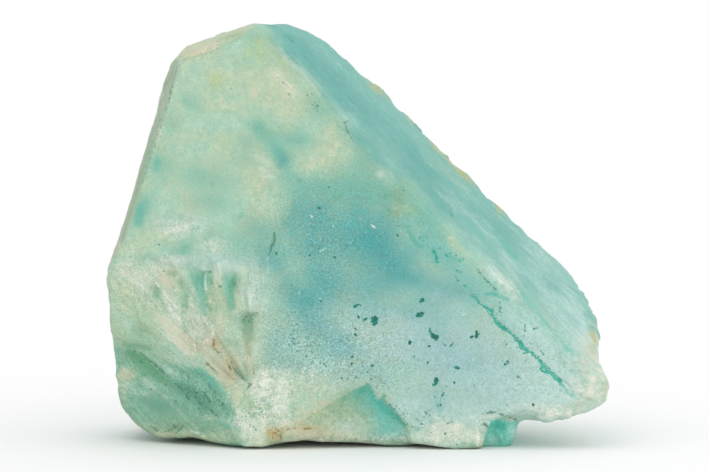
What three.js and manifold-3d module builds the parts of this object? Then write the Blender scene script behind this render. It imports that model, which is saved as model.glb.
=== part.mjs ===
// Rough amazonite: a hand-sized block of blue-green microcline feldspar, broken out along its cleavages,
// with one side sawn flat.  It is one solid piece.
//
// Millimetres, +Z up, +X to the right, +Y away from the sawn face.  The origin lies under the middle of the
// block, on the surface that it rests on.
//
// The block is drawn in its own upright frame: x to the right, d the depth behind the sawn face, and h the
// height along it.  It is then leaned back by LEAN, and its foot is cut level.

import * as THREE from "three";
import { mergeVertices } from "three/addons/utils/BufferGeometryUtils.js";
import Module from "manifold-3d";

const wasm = await Module();
wasm.setup();

// ---------------------------------------------------------------- driving dimensions

const LEAN = THREE.MathUtils.degToRad(4); // how far the sawn face leans back from upright
const RAW_DEPTH = 54; // of the block before its back is broken away
const FLARE = { x: -0.5, h: 38.5, distance: 700 }; // the sides open from this line, this far in front
const INSIDE = new THREE.Vector3(-2, 16, 32); // a point deep in the block, in x, d and h
const SLAB = { reach: 190, thickness: 50 }; // of a cutting slab, enough to pass the block on every side

// Grid sizes of the broken surfaces, and how far a point may lie from its neighbours' plane to be dropped.
const FINE = 1.4;
const MEDIUM = 2.25;
const SIMPLEST = 0.012;
const MERGE = 1e-4; // points closer than this are one
const CURVE_STEPS = 7; // in the rounded lower left corner

// The outline of the block, seen square on to its sawn face, as [x, h] clockwise from the apex.
const CREST = [[-18.4, 76.7], [-16.2, 76.3], [-12.8, 76.7], [-9.4, 75.4], [-6.5, 74], [-2.7, 71.1]];
const RIGHT_RIM = [
  [0.7, 67.6], [3.1, 66.2], [5.5, 63.8], [7, 61.2], [8.6, 60.6], [10.1, 58.9], [14.2, 54.7], [16.2, 53.1],
  [18.4, 50.2], [20.9, 48.4], [23.6, 45.1], [25.2, 44.3], [26.8, 42.3], [30.6, 38.6], [35.8, 34.4],
  [39.2, 31.2], [41.2, 27.8], [43, 23.4], [43.8, 19.9],
];
const RIGHT_TIP = [[43.4, 17], [44.4, 14], [45.4, 11.2], [45, 8.9], [44, 7.9], [41.6, 6.9], [36.8, 5.3]];
const NOTCH = [[33.4, 5], [29.4, 5.2], [29.1, 3.4], [28.3, 1.4], [27.3, 0.5]];
const BASE = [
  [25.6, -0.1], [21.6, 0.3], [17.4, 0.1], [14.4, 0.6], [10.4, 1.2], [7.8, 0.7], [3.2, 1.2], [-4.4, 1.5],
  [-9.8, 1.8], [-12.4, 1.5], [-15, 0.9], [-17, 0.4], [-22, 0.8], [-27.6, 1.8], [-29.6, 2.4], [-31.2, 2],
  [-35.2, 2.1],
];
const LEFT_CORNER = { pull: [-42.6, 4.6], end: [-43.4, 13] }; // a curve from the base up the left side
const LEFT_SIDE = [
  [-44.3, 24], [-44.7, 28.5], [-45.1, 31.2], [-43.2, 37.6], [-40.5, 45.4], [-39.2, 50.2], [-37.6, 55.3],
  [-36.3, 60], [-35.1, 64.6], [-33.2, 70], [-31.2, 72.4], [-24.8, 74.6],
];

// ---------------------------------------------------------------- relief of the broken surfaces

// A fixed pseudo-random number from 0 to 1 for each whole-numbered place: the usual integer scramble.
function hash(i, j, seed) {
  let mixed = Math.imul(i, 374761393) ^ Math.imul(j, 668265263) ^ Math.imul(seed, 362437);
  mixed = Math.imul(mixed ^ (mixed >>> 13), 1274126177);
  return ((mixed ^ (mixed >>> 16)) >>> 0) / 2 ** 32;
}

// Smooth noise from -1 to 1 that changes over about one unit.
function noise(x, y, seed) {
  const i = Math.floor(x);
  const j = Math.floor(y);
  const s = THREE.MathUtils.smoothstep(x - i, 0, 1);
  const t = THREE.MathUtils.smoothstep(y - j, 0, 1);
  const near = THREE.MathUtils.lerp(hash(i, j, seed), hash(i + 1, j, seed), s);
  const far = THREE.MathUtils.lerp(hash(i, j + 1, seed), hash(i + 1, j + 1, seed), s);
  return 2 * THREE.MathUtils.lerp(near, far, t) - 1;
}

// How far apart the features of each kind of relief lie, in millimetres.
const SWELL_SIZE = 17;
const LUMP_SIZE = 6;
const STRIA = { length: 55, width: 3 };
const BAND = { length: 30, width: 7 };
const GRAIN = { size: 4, height: 0.15 };
const RISER_FROM = 0.7; // a cleavage step is level up to this share of its tread, then rises

// Each relief gives the height of a face in millimetres, outwards, at u along the face and v across it.
const smooth = () => 0;

// Uneven fracture: a broad swell under finer lumps.
const hackly = (swell, lump, seed) => (u, v) =>
  swell * noise(u / SWELL_SIZE, v / SWELL_SIZE, seed) +
  lump * noise(u / LUMP_SIZE, v / LUMP_SIZE, seed + 1);

// Cleavage steps: a swell broken into level treads with steep risers, longer along u than across it.
const stepped = ({ swell, rise, length, width }, seed) => (u, v) => {
  const level = (swell * noise(u / length, v / width, seed)) / rise;
  const tread = Math.floor(level);
  const riser = THREE.MathUtils.smoothstep(level - tread, RISER_FROM, 1);
  return rise * (tread + riser) + GRAIN.height * noise(u / GRAIN.size, v / GRAIN.size, seed + 1);
};

// Growth striations: long low ridges that run along u, on wider bands.
const striated = (stria, band, seed) => (u, v) =>
  stria * noise(u / STRIA.length, v / STRIA.width, seed) +
  band * noise(u / BAND.length, v / BAND.width, seed + 1);

// Another relief, on a face that sags in its middle by so much.
const sagging = (sag, halfSpan, relief) => (u, v) => {
  const t = THREE.MathUtils.clamp(u / halfSpan, -1, 1);
  return relief(u, v) - sag * (1 - t * t);
};

// Another relief in the floor of an oval hollow, so deep in its middle, that runs out at its edge.
const hollowed = ({ depth, halfLength, halfWidth }, relief) => (u, v) => {
  const sunk = 1 - (u / halfLength) ** 2 - (v / halfWidth) ** 2;
  return Math.max(0, sunk) * relief(u, v) - depth * sunk;
};

// ---------------------------------------------------------------- solids

// A closed geometry as a manifold solid.
function toSolid(geometry) {
  const bare = geometry.clone();
  bare.deleteAttribute("normal");
  bare.deleteAttribute("uv");
  const merged = mergeVertices(bare, MERGE);
  const mesh = new wasm.Mesh({
    numProp: 3,
    vertProperties: new Float32Array(merged.attributes.position.array),
    triVerts: new Uint32Array(merged.index.array),
  });
  return new wasm.Manifold(mesh);
}

// A manifold solid as a geometry with flat faces.
function toGeometry(solid) {
  const mesh = solid.getMesh();
  const geometry = new THREE.BufferGeometry();
  geometry.setAttribute("position", new THREE.BufferAttribute(mesh.vertProperties, 3));
  geometry.setIndex(new THREE.BufferAttribute(mesh.triVerts, 1));
  const faceted = geometry.toNonIndexed();
  faceted.computeVertexNormals();
  return faceted;
}

// A closed outline drawn through [x, h] points.
const outlineOf = (points) => new THREE.Shape(points.map(([x, h]) => new THREE.Vector2(x, h)));

// The geometry of a prism over an outline, from depth near to depth far.
function prism(outline, near, far) {
  const extent = { depth: far - near, bevelEnabled: false, curveSegments: CURVE_STEPS };
  return new THREE.ExtrudeGeometry(outline, extent).translate(0, 0, -far).rotateX(Math.PI / 2);
}

// The slab outside the plane through three points [x, d, h], with relief on the side that meets the block.
// u runs from the first point towards the second, and both u and v are 0 midway between the three.
function slabOutside([a, b, c], relief, cell) {
  const [first, second, third] = [a, b, c].map((point) => new THREE.Vector3(...point));
  const along = second.clone().sub(first).normalize();
  const outward = third.clone().sub(first).cross(along).normalize();
  if (outward.dot(INSIDE.clone().sub(first)) > 0) outward.negate();
  const across = outward.clone().cross(along);
  const middle = first.clone().add(second).add(third).divideScalar(3);

  const cells = relief === smooth ? 1 : Math.ceil(SLAB.reach / cell);
  const slab = new THREE.BoxGeometry(SLAB.reach, SLAB.reach, SLAB.thickness, cells, cells, 1);
  const place = slab.attributes.position;
  for (let i = 0; i < place.count; i++) {
    const onFace = place.getZ(i) < 0;
    place.setZ(i, onFace ? relief(place.getX(i), place.getY(i)) : SLAB.thickness);
  }
  const toBlock = new THREE.Matrix4().makeBasis(along, across, outward).setPosition(middle);
  return toSolid(slab.applyMatrix4(toBlock));
}

// The block without what lies outside a face.  A face with a window is cut only within that outline.
function cleave(block, { through, relief, cell = MEDIUM, window }) {
  const slab = slabOutside(through, relief, cell);
  if (!window) return block.subtract(slab);
  const pane = toSolid(prism(outlineOf(window), -SLAB.thickness, SLAB.thickness));
  return block.subtract(slab.intersect(pane));
}

// ---------------------------------------------------------------- the block and its main faces

// The outline carried straight back, opening as it goes.
function outlineBlock() {
  const outline = outlineOf([...CREST, ...RIGHT_RIM, ...RIGHT_TIP, ...NOTCH, ...BASE]);
  outline.quadraticCurveTo(...LEFT_CORNER.pull, ...LEFT_CORNER.end);
  for (const [x, h] of LEFT_SIDE) outline.lineTo(x, h);

  const block = prism(outline, 0, RAW_DEPTH);
  const place = block.attributes.position;
  for (let i = 0; i < place.count; i++) {
    const spread = 1 + place.getY(i) / FLARE.distance;
    place.setX(i, FLARE.x + spread * (place.getX(i) - FLARE.x));
    place.setZ(i, FLARE.h + spread * (place.getZ(i) - FLARE.h));
  }
  return toSolid(block);
}

// The large broken faces around and behind the sawn one.
const MAIN_FACES = {
  rightSlope: {
    through: [[-16.7, 0, 76.3], [39.2, 0, 17.3], [21.5, 26, 49.5]],
    relief: sagging(1.4, 36, striated(0.3, 0.2, 11)),
  },
  // The ridge between it and the sawn face, worn round in its lower half.
  rightShoulder: {
    through: [[30, 0, 26.2], [42, 0, 14.4], [31, 3.2, 29.4]],
    relief: hackly(0.3, 0.2, 17),
    window: [[20, 60], [70, 60], [70, 0], [20, 0]],
  },
  leftSliver: {
    through: [[-31.5, 0, 70.4], [-42.4, 0, 39.5], [-36.2, 22, 65.4]],
    relief: striated(0.3, 0.2, 23),
  },
  topBevel: {
    through: [[-31.5, 0, 70.4], [-19.5, 0, 75.8], [-25.5, 15, 75.9]],
    relief: hackly(0.3, 0.3, 31),
  },
  leftFlank: {
    through: [[-45.8, 10, 31], [-44.2, 10, 13], [-43, 30, 24]],
    relief: hackly(0.7, 0.6, 37),
  },
  back: {
    through: [[-30, 38, 22], [-18, 21, 75], [8, 43, 24]],
    relief: stepped({ swell: 3.2, rise: 1.6, length: 26, width: 15 }, 41),
  },
  backRight: {
    through: [[0, 31, 69], [41, 34, 30.5], [12, 46.5, 24]],
    relief: stepped({ swell: 2.2, rise: 1.1, length: 30, width: 9 }, 43),
  },
  backLeft: {
    through: [[-44, 26, 14], [-35.5, 15, 68], [-28, 39, 22]],
    relief: stepped({ swell: 2.4, rise: 1.2, length: 18, width: 11 }, 47),
  },
  rightEnd: {
    through: [[45.6, 9, 14], [43.4, 24, 24], [28.6, 34, 8]],
    relief: stepped({ swell: 2, rise: 1, length: 14, width: 8 }, 53),
  },
  backFoot: {
    through: [[-20, 34, 2], [15, 34, 2], [0, 45, 18]],
    relief: hackly(1.3, 0.6, 59),
  },
  // The overhang of the right tip, to the right of the notch.
  tipUnderside: {
    through: [[30, 0, 3.9], [44, 0, 7.1], [30, 22, 9]],
    relief: hackly(0.4, 0.4, 67),
    cell: FINE,
    window: [[29.1, -20], [70, -20], [70, 14], [29.1, 14]],
  },
};

// ---------------------------------------------------------------- scars in the sawn face

const SCARS = {
  // The broken hollow on the left, with upright cleavage columns in its floor.
  columns: {
    through: [[-33, 0.2, 20], [-33, 0.2, 30], [-39, 0.5, 25]],
    relief: hollowed(
      { depth: 1.9, halfLength: 9.5, halfWidth: 15.5 },
      stepped({ swell: 2.2, rise: 0.7, length: 15, width: 2.9 }, 71),
    ),
    cell: FINE,
    window: [[-50, 36], [-18, 36], [-17.6, 24], [-19, 15], [-26, 13], [-50, 16]],
  },
  // The smoother flake below it, falling back to the lower left corner.
  cornerFlake: {
    through: [[-30, 1.3, 15.5], [-23, 1.1, 5], [-40, 9, 7]],
    relief: hackly(0.5, 0.3, 73),
    window: [
      [-50, 22], [-42.7, 20.2], [-37, 18.8], [-29.2, 15.6], [-26.6, 15.8], [-22.6, 7], [-20.4, -4],
      [-50, -4],
    ],
  },
  // The three-sided chip in the middle of the bottom edge, deepest at its right side.
  bottomChip: {
    through: [[-9.5, 0, 5.2], [2.2, 0, 12.1], [9, 3.2, 2]],
    relief: hackly(0.35, 0.25, 79),
    window: [[-17, -4], [-14, 4], [2, 13.4], [4.3, 9.9], [6.6, 7.1], [8.8, 4.2], [10.2, -4]],
  },
  // The step back to the knob at the notch.
  knob: {
    through: [[22.7, 2.6, 5], [29, 2.8, 5], [25, 4.4, 0]],
    relief: hackly(0.4, 0.4, 83),
    cell: FINE,
    window: [[22.4, -4], [23, 2.6], [24.6, 5.4], [27.6, 6.1], [32, 6.4], [34, 4], [34, -4]],
  },
};

// Openings between the columns: the outline of each, and its depth at the top and at the bottom.
const SLOTS = [
  {
    window: [
      [-29.3, 31.6], [-27, 32.7], [-25.9, 31], [-25.7, 27], [-25.9, 24.7], [-27.3, 26], [-28.8, 28.6],
    ],
    top: 4.2,
    bottom: 1.6,
  },
  {
    window: [[-23.2, 31.4], [-21.5, 31.7], [-21.2, 28], [-21.9, 25.2], [-23.1, 27.6]],
    top: 4,
    bottom: 1.8,
  },
  {
    window: [[-21.1, 24.4], [-17.8, 25.3], [-18.5, 20], [-20.1, 21.4]],
    top: 3.2,
    bottom: 1.2,
  },
];

function cutSlot(block, { window, top, bottom }) {
  const heights = window.map(([, h]) => h);
  const high = Math.max(...heights);
  const low = Math.min(...heights);
  const [middle] = window[0];
  const through = [[middle, bottom, low], [middle, top, high], [middle - 1, top, high]];
  return cleave(block, { through, relief: smooth, window });
}

// ---------------------------------------------------------------- crack and pits

// The open crack that falls to the right, as points along its middle, with its width and depth.
const CRACK = {
  path: [
    [22.9, 26.1], [24.7, 24.7], [25.4, 22.9], [26.5, 21.8], [28.7, 20.4], [30.2, 18], [31.8, 17.5],
    [33.2, 15.8], [34.2, 14.2], [36, 13], [37.3, 11.8], [38.8, 10.2],
  ],
  width: 0.8,
  depth: 0.55,
};

// A ribbon along the crack's path, uneven in width and pointed at both ends.  The crack falls at about 45
// degrees, so half its width lies along each of x and h.
function crackOutline() {
  const { path, width } = CRACK;
  const last = path.length - 1;
  const side = (sign) =>
    path.slice(1, last).map(([x, h], i) => {
      const offset = sign * (width / 2) * Math.SQRT1_2 * (0.75 + 0.5 * hash(i, sign, 89));
      return [x + offset, h + offset];
    });
  return [path[0], ...side(1), path[last], ...side(-1).reverse()];
}

// The larger pits in the sawn face, as [x, h, width].
const PITS = [
  [0, 26.1, 1.3], [3.1, 23.4, 1.9], [11.5, 26.8, 1.5], [11.2, 24.3, 1.5], [13.7, 20.5, 2.2],
  [9.5, 19.3, 1.2], [12.8, 18.7, 1.1], [17.1, 18.9, 1.2], [21.6, 20.7, 1.4], [2.9, 15.1, 1.3],
  [-0.4, 20.9, 1.2], [18.2, 14.7, 1.4], [14, 12.1, 1.9], [15.5, 9.9, 1.2], [26.8, 15.5, 1.4],
  [28.8, 13.3, 1.2], [31.5, 8.3, 1.2],
];
const PIT_DEPTH = 0.5;

// An angular pit: five or six corners at uneven distances from its middle.
function pitOutline([x, h, width], index) {
  const corners = 5 + (index % 2);
  return Array.from({ length: corners }, (_, corner) => {
    const angle = (2 * Math.PI * (corner + 0.5 * hash(corner, index, 97))) / corners;
    const radius = (width / 2) * (0.7 + 0.6 * hash(index, corner, 101));
    return [x + radius * Math.cos(angle), h + radius * Math.sin(angle)];
  });
}

// The sawn face opened along the crack and at the pits.
function openFace(block) {
  let opened = block.subtract(toSolid(prism(outlineOf(crackOutline()), -1, CRACK.depth)));
  PITS.forEach((pit, index) => {
    opened = opened.subtract(toSolid(prism(outlineOf(pitOutline(pit, index)), -1, PIT_DEPTH)));
  });
  return opened;
}

// ---------------------------------------------------------------- foot

// The worn underside.  It is lowest about the middle of the foot, where it would reach past the ground by
// fullness, and rises to the sides and the back.
const FOOT = { depth: 21, halfWidth: 16, fullness: 0.55, rise: 1.7, span: 14, lump: 0.75 };

const worn = (seed) => (u, v) => {
  const inward = THREE.MathUtils.smoothstep(v, -FOOT.span, 0);
  const aside = Math.max(0, Math.abs(u) - FOOT.halfWidth) / FOOT.span;
  const behind = Math.max(0, v) / FOOT.span;
  const lumps = FOOT.lump * noise(u / LUMP_SIZE, v / LUMP_SIZE, seed);
  return FOOT.fullness + (1 - inward) + inward * (lumps - FOOT.rise * (aside ** 2 + behind ** 2));
};

// The underside as a face of the leaning block, drawn about the middle of the foot with v towards the back.
function wearUnderside(block) {
  const level = (x, d) => [x, d, d * Math.tan(LEAN)];
  const through = [level(1, FOOT.depth), level(-1, FOOT.depth), level(0, FOOT.depth + 1)];
  return cleave(block, { through, relief: worn(103) });
}

// The foot cut level, once the block leans.
function levelFoot(block) {
  const ground = new THREE.BoxGeometry(SLAB.reach, SLAB.reach, SLAB.thickness);
  ground.translate(0, 0, -SLAB.thickness / 2);
  return block.subtract(toSolid(ground));
}

// ---------------------------------------------------------------- the whole stone

// The stone without the crumbs that lie loose between two cuts.
function largestPiece(stone) {
  const larger = (one, other) => (other.volume() > one.volume() ? other : one);
  return stone.decompose().reduce(larger);
}

// The stone with the middle of its bounding box above the origin, and its foot on z = 0.
function centred(stone) {
  const { min, max } = stone.boundingBox();
  return stone.translate([-(min[0] + max[0]) / 2, -(min[1] + max[1]) / 2, -min[2]]);
}

function buildStone() {
  let stone = outlineBlock();
  for (const face of Object.values(MAIN_FACES)) stone = cleave(stone, face);
  for (const scar of Object.values(SCARS)) stone = cleave(stone, scar);
  for (const slot of SLOTS) stone = cutSlot(stone, slot);
  stone = openFace(wearUnderside(stone));
  stone = stone.rotate([-THREE.MathUtils.radToDeg(LEAN), 0, 0]);
  stone = largestPiece(levelFoot(stone));
  return centred(stone.simplify(SIMPLEST));
}

const amazonite = new THREE.Mesh(
  toGeometry(buildStone()),
  new THREE.MeshStandardMaterial({ name: "amazonite", color: 0x9accc4, roughness: 0.62, metalness: 0 }),
);
amazonite.name = "amazonite";

const part = new THREE.Group();
part.name = "rough_amazonite";
part.add(amazonite);

export default part;
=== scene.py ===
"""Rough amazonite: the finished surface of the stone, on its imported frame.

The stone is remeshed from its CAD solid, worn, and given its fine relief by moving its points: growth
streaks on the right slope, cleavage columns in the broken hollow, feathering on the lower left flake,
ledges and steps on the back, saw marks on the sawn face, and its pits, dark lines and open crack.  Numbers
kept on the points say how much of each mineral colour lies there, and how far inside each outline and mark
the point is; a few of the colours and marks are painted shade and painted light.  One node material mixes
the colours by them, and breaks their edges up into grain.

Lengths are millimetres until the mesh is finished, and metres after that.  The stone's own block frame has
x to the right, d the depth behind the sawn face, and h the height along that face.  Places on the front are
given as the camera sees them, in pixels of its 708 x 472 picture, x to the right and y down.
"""

import math

import bmesh
import bpy
import numpy as np
from mathutils import Matrix, Vector


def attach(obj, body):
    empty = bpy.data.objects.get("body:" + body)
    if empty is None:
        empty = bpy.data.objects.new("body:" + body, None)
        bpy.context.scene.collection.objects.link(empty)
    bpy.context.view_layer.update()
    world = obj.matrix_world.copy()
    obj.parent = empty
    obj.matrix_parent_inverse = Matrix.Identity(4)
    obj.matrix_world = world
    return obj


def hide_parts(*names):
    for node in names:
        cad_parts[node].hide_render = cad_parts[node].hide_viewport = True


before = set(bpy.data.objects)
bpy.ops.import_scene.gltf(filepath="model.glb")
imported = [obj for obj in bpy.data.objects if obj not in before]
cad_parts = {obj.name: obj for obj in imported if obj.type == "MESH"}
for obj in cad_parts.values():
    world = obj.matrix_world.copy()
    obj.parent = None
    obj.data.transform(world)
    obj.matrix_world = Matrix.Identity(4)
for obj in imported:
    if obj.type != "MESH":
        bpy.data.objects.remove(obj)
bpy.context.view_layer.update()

# ---------------------------------------------------------------- the frame and the camera

MM = 0.001
LEAN = math.radians(4)  # how far the sawn face leans back
BLOCK_ORIGIN = np.array([0.03, -24.02, 0.0])  # the foot of the sawn face, in the row's frame
PICTURE = (708, 472)
PIXEL = 0.18  # of the sawn face, at the camera's distance
EYE = {"x": -0.54, "h": 38.5, "distance": 700.0}  # square on to the sawn face
SENSOR = 36.0


def to_block(points):
    """Points of the row's frame in the block frame, as columns x, d and h."""
    x, y, z = (points - BLOCK_ORIGIN).T
    depth = y * math.cos(LEAN) - z * math.sin(LEAN)
    height = y * math.sin(LEAN) + z * math.cos(LEAN)
    return np.stack([x, depth, height], axis=1)


def turned_to_block(directions):
    """Directions of the row's frame in the block frame."""
    return to_block(directions + BLOCK_ORIGIN)


def to_row(x, depth, height):
    """A place of the block frame in the row's frame."""
    y = depth * math.cos(LEAN) + height * math.sin(LEAN)
    z = height * math.cos(LEAN) - depth * math.sin(LEAN)
    return BLOCK_ORIGIN + (x, y, z)


def in_picture(block):
    """Where the camera sees points of the block frame, in pixels."""
    nearness = EYE["distance"] / (EYE["distance"] + block[:, 1])
    x = PICTURE[0] / 2 + (block[:, 0] - EYE["x"]) * nearness / PIXEL
    y = PICTURE[1] / 2 - (block[:, 2] - EYE["h"]) * nearness / PIXEL
    return np.stack([x, y], axis=1)


# ---------------------------------------------------------------- numbers

# Large odd numbers that scatter neighbouring cells, one for each axis, for the seed and for the mixing.
AXIS_FACTORS = (374761393, 668265263, 2246822519)
SEED_FACTOR = 362437
MIX_FACTOR = 1274126177


def soft(value, low, high):
    """0 below low, 1 above high, and a smooth rise between them."""
    t = np.clip((value - low) / (high - low), 0, 1)
    return t * t * (3 - 2 * t)


def unit(vector):
    vector = np.asarray(vector, float)
    return vector / np.linalg.norm(vector)


def scramble(cell, seed):
    """A fixed pseudo-random number from 0 to 1 for each row of whole numbers."""
    mixed = np.full(len(cell), seed * SEED_FACTOR, np.uint32)
    for column, factor in zip(cell.T.astype(np.uint32), AXIS_FACTORS):
        mixed ^= column * np.uint32(factor)
    mixed = (mixed ^ (mixed >> 13)) * np.uint32(MIX_FACTOR)
    return (mixed ^ (mixed >> 16)) / 2.0**32


def noise(points, seed):
    """Smooth noise from -1 to 1 that changes over about one unit."""
    low = np.floor(points)
    share = soft(points - low, 0, 1)
    cell = low.astype(np.int64)
    total = np.zeros(len(points))
    for corner in np.ndindex(*(2,) * points.shape[1]):
        weight = np.prod(np.where(corner, share, 1 - share), axis=1)
        total += weight * scramble(cell + corner, seed)
    return 2 * total - 1


def fractal(points, octaves, seed):
    """Noise with ever finer and weaker noise on it."""
    return sum(noise(points * 2**i, seed + i) / 2**i for i in range(octaves))


# ---------------------------------------------------------------- mesh

VOXEL = 0.68  # halved on the cut face and the breaks beside it, and once more at their small marks
WELD = 1e-6  # metres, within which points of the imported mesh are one


def merged_solid(node):
    """The CAD node's solid as one mesh with shared points, in millimetres."""
    build = bmesh.new()
    build.from_mesh(node.data)
    bmesh.ops.remove_doubles(build, verts=build.verts, dist=WELD)
    bmesh.ops.scale(build, vec=(1 / MM,) * 3, verts=build.verts)
    mesh = bpy.data.meshes.new("solid")
    build.to_mesh(mesh)
    build.free()
    return mesh


def with_modifiers(piece):
    """The piece's mesh as its modifiers leave it."""
    evaluated = piece.evaluated_get(bpy.context.evaluated_depsgraph_get())
    return bpy.data.meshes.new_from_object(evaluated)


def remesh(piece, voxel):
    """Builds the piece's mesh anew from even squares."""
    modifier = piece.modifiers.new("remesh", "REMESH")
    modifier.mode = "VOXEL"
    modifier.voxel_size = voxel
    piece.data = with_modifiers(piece)
    piece.modifiers.clear()


def refine(mesh, where):
    """Halves the edges that lie in the mask."""
    build = bmesh.new()
    build.from_mesh(mesh)
    edges = [edge for edge in build.edges if all(where[point.index] for point in edge.verts)]
    bmesh.ops.subdivide_edges(build, edges=edges, cuts=1, use_grid_fill=True)
    build.to_mesh(mesh)
    build.free()


def points_of(mesh):
    points = np.empty(len(mesh.vertices) * 3)
    mesh.vertices.foreach_get("co", points)
    return points.reshape(-1, 3)


def normals_of(mesh):
    normals = np.empty(len(mesh.vertices) * 3)
    mesh.vertex_normals.foreach_get("vector", normals)
    return normals.reshape(-1, 3)


def move_points(mesh, points):
    mesh.vertices.foreach_set("co", points.ravel())
    mesh.update()


def averaged(mesh, points, weight, rounds):
    """The points drawn towards the middle of their neighbours, so many times."""
    edges = np.empty(len(mesh.edges) * 2, int)
    mesh.edges.foreach_get("vertices", edges)
    start, end = edges.reshape(-1, 2).T
    count = len(points)
    degree = np.bincount(start, minlength=count) + np.bincount(end, minlength=count)
    for _ in range(rounds):
        sums = [
            np.bincount(start, column[end], count) + np.bincount(end, column[start], count)
            for column in points.T
        ]
        points = points + weight[:, None] * (np.stack(sums, axis=1) / degree[:, None] - points)
    return points


# ---------------------------------------------------------------- places on the stone

FAR = 8.0  # pixels, past which no distance to a mark or an outline is kept
OVAL_FALL = 1.1  # how fast an oval fades out from its middle


def ovals(spots, place):
    """How deep in the ovals each place is: 1 in the middle of a strong one, fading out past its rim.
    An oval is (x, y, half length, half width, tilt clockwise in degrees, strength)."""
    clear = np.ones(len(place))
    for x, y, length, width, tilt, strength in spots:
        angle = math.radians(tilt)
        across = place - (x, y)
        u = (across[:, 0] * math.cos(angle) + across[:, 1] * math.sin(angle)) / length
        v = (across[:, 1] * math.cos(angle) - across[:, 0] * math.sin(angle)) / width
        clear *= 1 - strength * np.exp(-OVAL_FALL * (u**2 + v**2))
    return 1 - clear


def along_line(line, place):
    """The distance to a line through points, with its sign (right of the line is positive), and how far
    along the line the nearest place is, both in pixels."""
    best = np.full(len(place), np.inf)
    signed = np.zeros(len(place))
    travelled = np.zeros(len(place))
    passed = 0.0
    for start, end in zip(line, line[1:]):
        start, end = np.array(start, float), np.array(end, float)
        length = np.linalg.norm(end - start)
        forward = (end - start) / length
        offset = place - start
        t = np.clip(offset @ forward, 0, length)
        distance = np.linalg.norm(offset - t[:, None] * forward, axis=1)
        side = np.where(forward[0] * offset[:, 1] - forward[1] * offset[:, 0] < 0, -1.0, 1.0)
        nearer = distance < best
        best = np.where(nearer, distance, best)
        signed = np.where(nearer, side * distance, signed)
        travelled = np.where(nearer, passed + t, travelled)
        passed += length
    return signed, travelled


def within(outline, place):
    """The distance in pixels inside a closed outline, negative outside it."""
    distance = np.abs(along_line([*outline, outline[0]], place)[0])
    x, y = place.T
    crossings = np.zeros(len(place), int)
    for (x1, y1), (x2, y2) in zip(outline, [*outline[1:], outline[0]]):
        spans = (y1 > y) != (y2 > y)
        slope = (x2 - x1) / (y2 - y1) if y1 != y2 else 0.0
        crossings += spans & (x < x1 + (y - y1) * slope)
    return np.where(crossings % 2 == 1, distance, -distance)


def along_mark(start, end, place):
    """The distance inside a stroke whose half width changes from its start to its end."""
    start, end = np.array(start, float), np.array(end, float)
    forward = (end - start)[:2]
    across = place - start[:2]
    t = np.clip(across @ forward / max(forward @ forward, 1e-9), 0, 1)
    return start[2] + t * (end - start)[2] - np.linalg.norm(across - t[:, None] * forward, axis=1)


def inside_marks(kind, place):
    """The distance in pixels inside the nearest edge of this kind of mark, negative outside."""
    inside = np.full(len(place), -FAR)
    for line in [*LINES.get(kind, ()), *([dot] for dot in DOTS.get(kind, ()))]:
        for start, end in zip(line, line[1:] or line):
            x, y = (np.array(start) + end)[:2] / 2
            reach = max(abs(end[0] - start[0]), abs(end[1] - start[1])) / 2 + FAR
            near = np.flatnonzero((np.abs(place - (x, y)) < reach).all(axis=1))
            inside[near] = np.maximum(inside[near], along_mark(start, end, place[near]))
    return inside


# ---------------------------------------------------------------- the stone's faces

# Directions in the block frame.
RIDGE = unit([55.9, 0, -59.0])  # down the ridge between the sawn face and the right slope
SLOPE_OUT = unit([1534, -756, 1453])  # out of the right slope
SLOPE_ACROSS = np.cross(SLOPE_OUT, RIDGE)
SLOPE_POINT = np.array([-16.7, 0, 76.3])  # on the right slope, at the upper end of the ridge
GRAIN = unit([0.8, 0, -0.6])  # the fine grain of the sawn face and of the lower left flake
GRAIN_ACROSS = unit([0.6, 0, 0.8])
BACK_ALONG = unit([0.35, -0.25, 0.9])  # the cleavage steps on the back run this way
BACK_ACROSS = unit(np.cross(BACK_ALONG, [0, 1, 0]))

# Outlines and lines as the camera sees them.
RIDGE_LINE = [(262, 20), (308, 76), (404, 183), (462, 246), (522, 302), (592, 363)]
SCOOP = [
    (104, 262), (148, 256), (190, 262), (222, 262), (262, 266), (262, 310), (252, 345), (252, 372),
    (232, 390), (208, 372), (176, 358), (150, 346), (118, 338), (104, 330),
]
FLAKE = [
    (100, 348), (118, 348), (136, 348), (152, 354), (172, 363), (192, 368), (206, 371), (214, 378),
    (223, 389), (231, 402), (237, 418), (242, 440), (240, 460), (100, 460),
]
CHIP = [
    (262, 460), (276, 430), (302, 421), (330, 404), (350, 392), (366, 383), (369.5, 384), (372, 391),
    (374, 398), (378, 401), (381, 397), (383.5, 393), (386, 396), (385.5, 402), (391, 406), (396, 413),
    (401, 419), (406, 425), (404, 430), (410, 441), (416, 460),
]
KNOB = [
    (484, 460), (484, 438), (488, 428), (492, 421), (500, 418.5), (508, 421), (514, 421), (540, 423),
    (540, 460),
]
SLIVER = [
    (160, 40), (180, 62), (170, 96), (163, 117), (156, 141), (149, 162), (138, 199), (127, 236), (110, 262),
    (90, 262),
]
BEVEL = [(175, 30), (182, 60), (210, 53), (228, 44), (240, 36), (252, 27), (262, 10)]
FAN = (262, 405)  # where the fibres of the broken hollow would meet
SLOTS = [(205, 288, 12, 26, 0, 1), (232, 290, 9, 24, 0, 1), (248, 325, 12, 18, 0, 1)]  # in the hollow
BACK_MIDDLE = (290, 270, 170, 110, 45, 1)  # an oval that keeps clear of the stone's outline

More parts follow.
